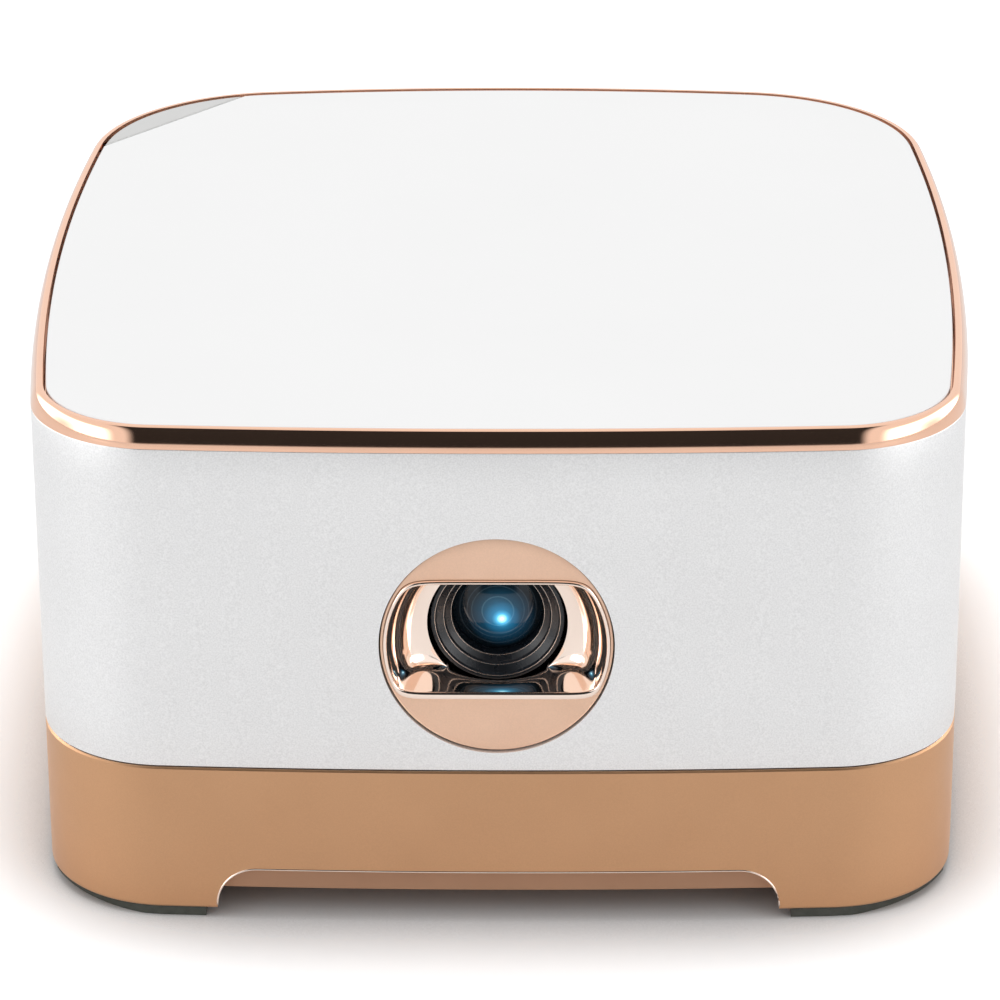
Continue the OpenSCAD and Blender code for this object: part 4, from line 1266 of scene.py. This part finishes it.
@dataclass
class RearDetails:
    """Contacts in the sockets and a fine mesh behind the rear slots."""

    outline: Outline

    def contacts(self) -> None:
        """Makes the gold contacts of the network and USB sockets."""
        parts = []
        low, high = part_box("lan_port")
        middle = (low.x + high.x) / 2
        for i in range(8):
            x = middle + (i - 3.5) * 1.02 * MM
            parts.append(block(Vector((x - 0.18 * MM, high.y - 11 * MM, high.z - 4.6 * MM)),
                               Vector((x + 0.18 * MM, high.y - 3 * MM, high.z - 4.2 * MM)), 0.05 * MM))
        low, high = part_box("usb_ports")
        for centre in (low.x + 7.2 * MM, high.x - 7.2 * MM):
            for i in range(4):
                x = centre + (i - 1.5) * 2.3 * MM
                z = (low.z + high.z) / 2 - 0.9 * MM
                parts.append(block(Vector((x - 0.5 * MM, high.y - 11 * MM, z - 0.12 * MM)),
                                   Vector((x + 0.5 * MM, high.y - 3 * MM, z + 0.01 * MM)), 0.03 * MM))
        thing = from_bmesh("socket_contacts", merged(parts), CONTACT_GOLD)
        place(thing, "case", "brass")

    def dust_mesh(self) -> None:
        """Makes the woven dust mesh behind the rear slots."""
        low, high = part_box("rear_grille")
        wires = []
        pitch, wire = 3.2 * MM, 0.25 * MM
        inset = 3.9 * MM
        z = low.z + 16 * MM
        around = [Vector((0, wire * math.cos(t), wire * math.sin(t))) for t in QUARTERS]
        while z < high.z - 7 * MM:
            points = [Vector((x * MM, self.outline.rear_y(x * MM, inset), z)) for x in range(-44, 45, 8)]
            wires.append(loft([[p + out for out in around] for p in points], caps=True))
            z += pitch
        thing = from_bmesh("dust_mesh", merged(wires), NICKEL)
        place(thing, "case", "nickel")

    def build(self) -> None:
        """Builds the rear details."""
        self.contacts()
        self.dust_mesh()


@dataclass
class Underside:
    """Painted shade for the case screws' cross recesses, and the tripod thread."""

    pitch: float = 1.27 * MM
    thread: float = 3.175 * MM

    def tripod_thread(self) -> None:
        """Makes the helical thread inside the brass insert."""
        low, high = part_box("tripod_insert")
        centre = centre_of("tripod_insert")
        turns, per_turn = 6.5, 40
        rings = []
        for i in range(int(turns * per_turn) + 1):
            t = 2 * math.pi * i / per_turn
            z = low.z + 0.7 * MM + self.pitch * i / per_turn
            out = Vector((math.cos(t), math.sin(t), 0))
            base = Vector((centre.x, centre.y, z))
            half = self.pitch * 0.42
            rings.append([
                base + out * (self.thread + 0.05 * MM) + Vector((0, 0, -half)),
                base + out * (self.thread - 0.5 * MM),
                base + out * (self.thread + 0.05 * MM) + Vector((0, 0, half)),
            ])
        thing = from_bmesh("tripod_thread", loft(rings, caps=True), BRASS)
        place(thing, "case", "brass")

    def screw_recess_shade(self) -> None:
        """Makes a dark cross on each case screw's head: painted shade for its cross recess."""
        low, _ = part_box("case_screws")
        bar_low = Vector((-1.5 * MM, -0.28 * MM, -0.05 * MM))
        bar_high = Vector((1.5 * MM, 0.28 * MM, 0.3 * MM))
        parts = []
        for centre in self._screw_places():
            for a in (0, math.pi / 2):
                bar = block(bar_low, bar_high, 0.08 * MM)
                turn = Matrix.Translation((centre.x, centre.y, low.z)) @ Matrix.Rotation(a + 0.4, 4, "Z")
                bmesh.ops.transform(bar, matrix=turn, verts=bar.verts)
                parts.append(bar)
        # The crosses are painted shade, not cut recesses.
        thing = from_bmesh("screw_recess_shade", merged(parts), PAINTED_SHADE_BLACK)
        place(thing, "case", "steel")

    @staticmethod
    def _screw_places() -> list[Vector]:
        """Finds the screws' axes from the loose parts of their node.

        Returns:
            A point on each axis, at height 0.
        """
        data = frame["nodes"]["case_screws"].data
        mesh = bmesh.new()
        mesh.from_mesh(data)
        bmesh.ops.remove_doubles(mesh, verts=mesh.verts, dist=1e-6)
        left = set(mesh.verts)
        places = []
        while left:
            stack, group = [next(iter(left))], set()
            while stack:
                vert = stack.pop()
                if vert in group:
                    continue
                group.add(vert)
                stack += [e.other_vert(vert) for e in vert.link_edges]
            left -= group
            xs, ys = [v.co.x for v in group], [v.co.y for v in group]
            places.append(Vector(((min(xs) + max(xs)) / 2, (min(ys) + max(ys)) / 2, 0)))
        mesh.free()
        return sorted(places, key=lambda p: (round(p.x, 5), round(p.y, 5)))

    def build(self) -> None:
        """Builds the underside's details."""
        self.tripod_thread()
        self.screw_recess_shade()


@dataclass
class CarriedOver:
    """The CAD nodes that keep their shape and get a finish by their slot."""

    def build(self) -> None:
        """Dresses every CAD node."""
        slots = {row["node"]: row["material_slot"] for row in frame["record"]["subparts"]}
        special = {"led_red": (0.9, 0.05, 0.03), "led_green": (0.05, 0.8, 0.1), "led_blue": (0.05, 0.1, 0.9)}
        for name, thing in frame["nodes"].items():
            finish = SLOT_FINISHES[slots[name]]
            if name in special:
                colour = tuple(0.6 * c + 0.3 * s for c, s in zip(finish.colour, special[name]))
                finish = Finish(f"board_{name}", colour, 0.35, 0.6, 0.1, 3 * MM, 0.01 * MM, 0.4 * MM)
            thing.data.materials.clear()
            thing.data.materials.append(finish.material())
        log.info("dressed %d CAD nodes", len(frame["nodes"]))


# ---------------------------------------------------------------- the stage


@dataclass
class Studio:
    """A pale floor, soft lights, a bright surround and the camera."""

    aim: Vector = field(default_factory=lambda: Vector((-0.89 * MM, 0, 45.77 * MM)))
    elevation: float = math.radians(23.674)
    azimuth: float = math.radians(0.944)
    roll: float = -0.0052
    distance: float = 0.9890
    lens: float = 166.39

    def camera(self) -> None:
        """Makes the camera."""
        e, a = self.elevation, self.azimuth
        back = Vector((math.sin(a) * math.cos(e), -math.cos(a) * math.cos(e), math.sin(e)))
        right = Vector((math.cos(a), math.sin(a), 0))
        up = back.cross(right)
        c, s = math.cos(self.roll), math.sin(self.roll)
        right, up = c * right + s * up, -s * right + c * up
        data = bpy.data.cameras.new("camera")
        data.lens = self.lens
        data.sensor_width = 36
        data.clip_end = 20
        thing = bpy.data.objects.new("camera", data)
        axes = Matrix((right, up, back)).transposed().to_4x4()
        thing.matrix_world = Matrix.Translation(self.aim + back * self.distance) @ axes
        bpy.context.scene.collection.objects.link(thing)
        bpy.context.scene.camera = thing

    def floor(self) -> None:
        """Makes the level pale floor."""
        mesh = bmesh.new()
        bmesh.ops.create_grid(mesh, x_segments=4, y_segments=4, size=6.0)
        finish = Finish("floor_pale", (0.93, 0.93, 0.93), 0.7, 0.0, 0.004, 300 * MM, 0.0, specular=0.1)
        thing = from_bmesh("floor", mesh, finish)
        self.whiten_with_painted_shadow(thing.data.materials[0])
        thing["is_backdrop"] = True

    @staticmethod
    def whiten_with_painted_shadow(material: bpy.types.Material) -> None:
        """Shows the floor white to the eye, with its shadow deepened by a painted contact shadow.

        Args:
            material: The floor's material.
        """
        tree = material.node_tree
        shader = tree.nodes["Principled BSDF"]
        source = shader.inputs["Base Color"].links[0].from_socket
        path = tree.nodes.new("ShaderNodeLightPath")
        mix = tree.nodes.new("ShaderNodeMix")
        mix.data_type = "RGBA"
        mix.clamp_result = False
        tree.links.new(path.outputs["Is Camera Ray"], mix.inputs["Factor"])
        # Painted contact shadow: an occlusion term darkens the floor's colour near the case, for camera rays
        # only.
        painted_contact_shadow = tree.nodes.new("ShaderNodeAmbientOcclusion")
        painted_contact_shadow.inputs["Distance"].default_value = 0.035
        painted_contact_shadow.samples = 8
        painted_shadow_range = tree.nodes.new("ShaderNodeMapRange")
        tree.links.new(painted_contact_shadow.outputs["AO"], painted_shadow_range.inputs[0])
        for index, value in ((1, 0.4), (2, 0.85), (3, 0.4), (4, 1.0)):
            painted_shadow_range.inputs[index].default_value = value
        shaded = tree.nodes.new("ShaderNodeVectorMath")
        shaded.operation = "SCALE"
        shaded.inputs[0].default_value = (1.34, 1.36, 1.38)
        tree.links.new(painted_shadow_range.outputs[0], shaded.inputs["Scale"])
        tree.links.new(shaded.outputs[0], mix.inputs[7])
        tree.links.new(source, mix.inputs[6])
        tree.links.new(mix.outputs[2], shader.inputs["Base Color"])

    def light(self, name: str, at: Triple, aim: Triple, size: Pair, power: float) -> None:
        """Adds one soft rectangular light.

        Args:
            name: Its name.
            at: Its place.
            aim: The point that it faces.
            size: Its width and height.
            power: Its power, in watts.
        """
        data = bpy.data.lights.new(name, "AREA")
        data.shape = "RECTANGLE"
        data.size, data.size_y = size
        data.energy = power
        thing = bpy.data.objects.new(name, data)
        thing.location = at
        thing.rotation_euler = (Vector(aim) - Vector(at)).to_track_quat("-Z", "Y").to_euler()
        thing.visible_glossy = False
        bpy.context.scene.collection.objects.link(thing)

    def world(self) -> None:
        """Makes the surround: white to the eye, with a dark card for polish."""
        world = bpy.data.worlds.new("surround")
        bpy.context.scene.world = world
        world.use_nodes = True
        tree = world.node_tree
        back = tree.nodes["Background"]
        add = tree.nodes.new
        link = tree.links.new
        path = add("ShaderNodeLightPath")
        coords = add("ShaderNodeTexCoord")
        split = add("ShaderNodeSeparateXYZ")
        link(coords.outputs["Generated"], split.inputs[0])

        def band(source: Socket, start: float, full: float, off: float, end: float) -> Socket:
            """Gives 1 between full and off, fading to 0 at start and end.

            Args:
                source: The input.
                start: Where it begins to rise.
                full: Where it reaches 1.
                off: Where it begins to fall.
                end: Where it is 0 again.

            Returns:
                The output.
            """
            rise, fall, both = add("ShaderNodeMapRange"), add("ShaderNodeMapRange"), add("ShaderNodeMath")
            for node, (a, b) in ((rise, (start, full)), (fall, (end, off))):
                node.interpolation_type = "SMOOTHSTEP"
                link(source, node.inputs[0])
                node.inputs[1].default_value, node.inputs[2].default_value = a, b
            both.operation = "MULTIPLY"
            link(rise.outputs[0], both.inputs[0])
            link(fall.outputs[0], both.inputs[1])
            return both.outputs[0]

        def combine(a: Socket | float, b: Socket | float, operation: str = "MULTIPLY") -> Socket:
            """Combines two values.

            Args:
                a: The first value or output.
                b: The second value or output.
                operation: The operation's name.

            Returns:
                The output.
            """
            node = add("ShaderNodeMath")
            node.operation = operation
            for index, value in ((0, a), (1, b)):
                if isinstance(value, float):
                    node.inputs[index].default_value = value
                else:
                    link(value, node.inputs[index])
            return node.outputs[0]

        above = band(split.outputs["Z"], -0.05, 0.02, 1.1, 1.2)
        card = combine(above, band(split.outputs["Y"], -1.2, -1.1, -0.02, 0.10))
        card = combine(card, band(split.outputs["X"], -0.5, -0.34, 0.34, 0.5))
        first = combine(path.outputs["Glossy Depth"], 1.5, "LESS_THAN")
        level = combine(1.0, combine(combine(card, first), 0.97), "SUBTRACT")
        right = band(split.outputs["X"], 0.60, 0.78, 0.94, 1.02)
        strip = combine(right, band(split.outputs["X"], -1.02, -0.94, -0.78, -0.60), "ADD")
        strip = combine(strip, band(split.outputs["Z"], -0.2, 0.0, 0.45, 0.6))
        glossy = combine(level, combine(strip, 2.2), "ADD")
        mix = add("ShaderNodeMix")
        mix.data_type = "FLOAT"
        link(path.outputs["Is Glossy Ray"], mix.inputs["Factor"])
        height = combine(split.outputs["Z"], 0.0, "MAXIMUM")
        link(combine(combine(height, 0.46), 0.54, "ADD"), mix.inputs[2])
        link(glossy, mix.inputs[3])
        final = add("ShaderNodeMix")
        final.data_type = "FLOAT"
        link(path.outputs["Is Camera Ray"], final.inputs["Factor"])
        link(mix.outputs[0], final.inputs[2])
        final.inputs[3].default_value = 1.0
        link(final.outputs[0], back.inputs["Strength"])
        back.inputs["Color"].default_value = (1, 1, 1, 1)

    def build(self) -> None:
        """Builds the stage."""
        self.camera()
        self.floor()
        self.light("top_soft", (0.0, -0.1, 1.4), (0, 0, 0.05), (1.4, 1.4), 1.6)
        self.light("left_strip", (-1.0, -0.9, 0.55), (0, 0, 0.05), (0.35, 1.0), 1.4)
        self.light("right_strip", (1.0, -0.9, 0.55), (0, 0, 0.05), (0.35, 1.0), 1.4)
        self.world()
        bpy.context.scene.view_settings.view_transform = "Standard"


def sizes(when: str, known: dict[str, object]) -> dict[str, object]:
    """Args:
        when: The entry's name.
        known: The record so far.

    Returns:
        The record with its new entry.
    """
    low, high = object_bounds()
    known[when] = {"low": list(low), "high": list(high)}
    return known


def main() -> None:
    """Builds every sub-assembly in order."""
    logging.basicConfig(level=logging.INFO, format="%(message)s")
    record = sizes("frame", {})
    low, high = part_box("body_sleeve")
    outline = Outline(half_width=(high.x - low.x) / 2, half_depth=(high.y - low.y) / 2)
    lens = centre_of("lens_bezel")
    assemblies = (CarriedOver(), TopDeck(outline), Sleeve(outline), Base(outline), LensWindow(lens),
                  LensStack(lens), RearDetails(outline), Underside(), Studio())
    for assembly in assemblies:
        log.info("building %s", type(assembly).__name__)
        assembly.build()
    sizes("visual", record)


if __name__ == "__main__":
    main()
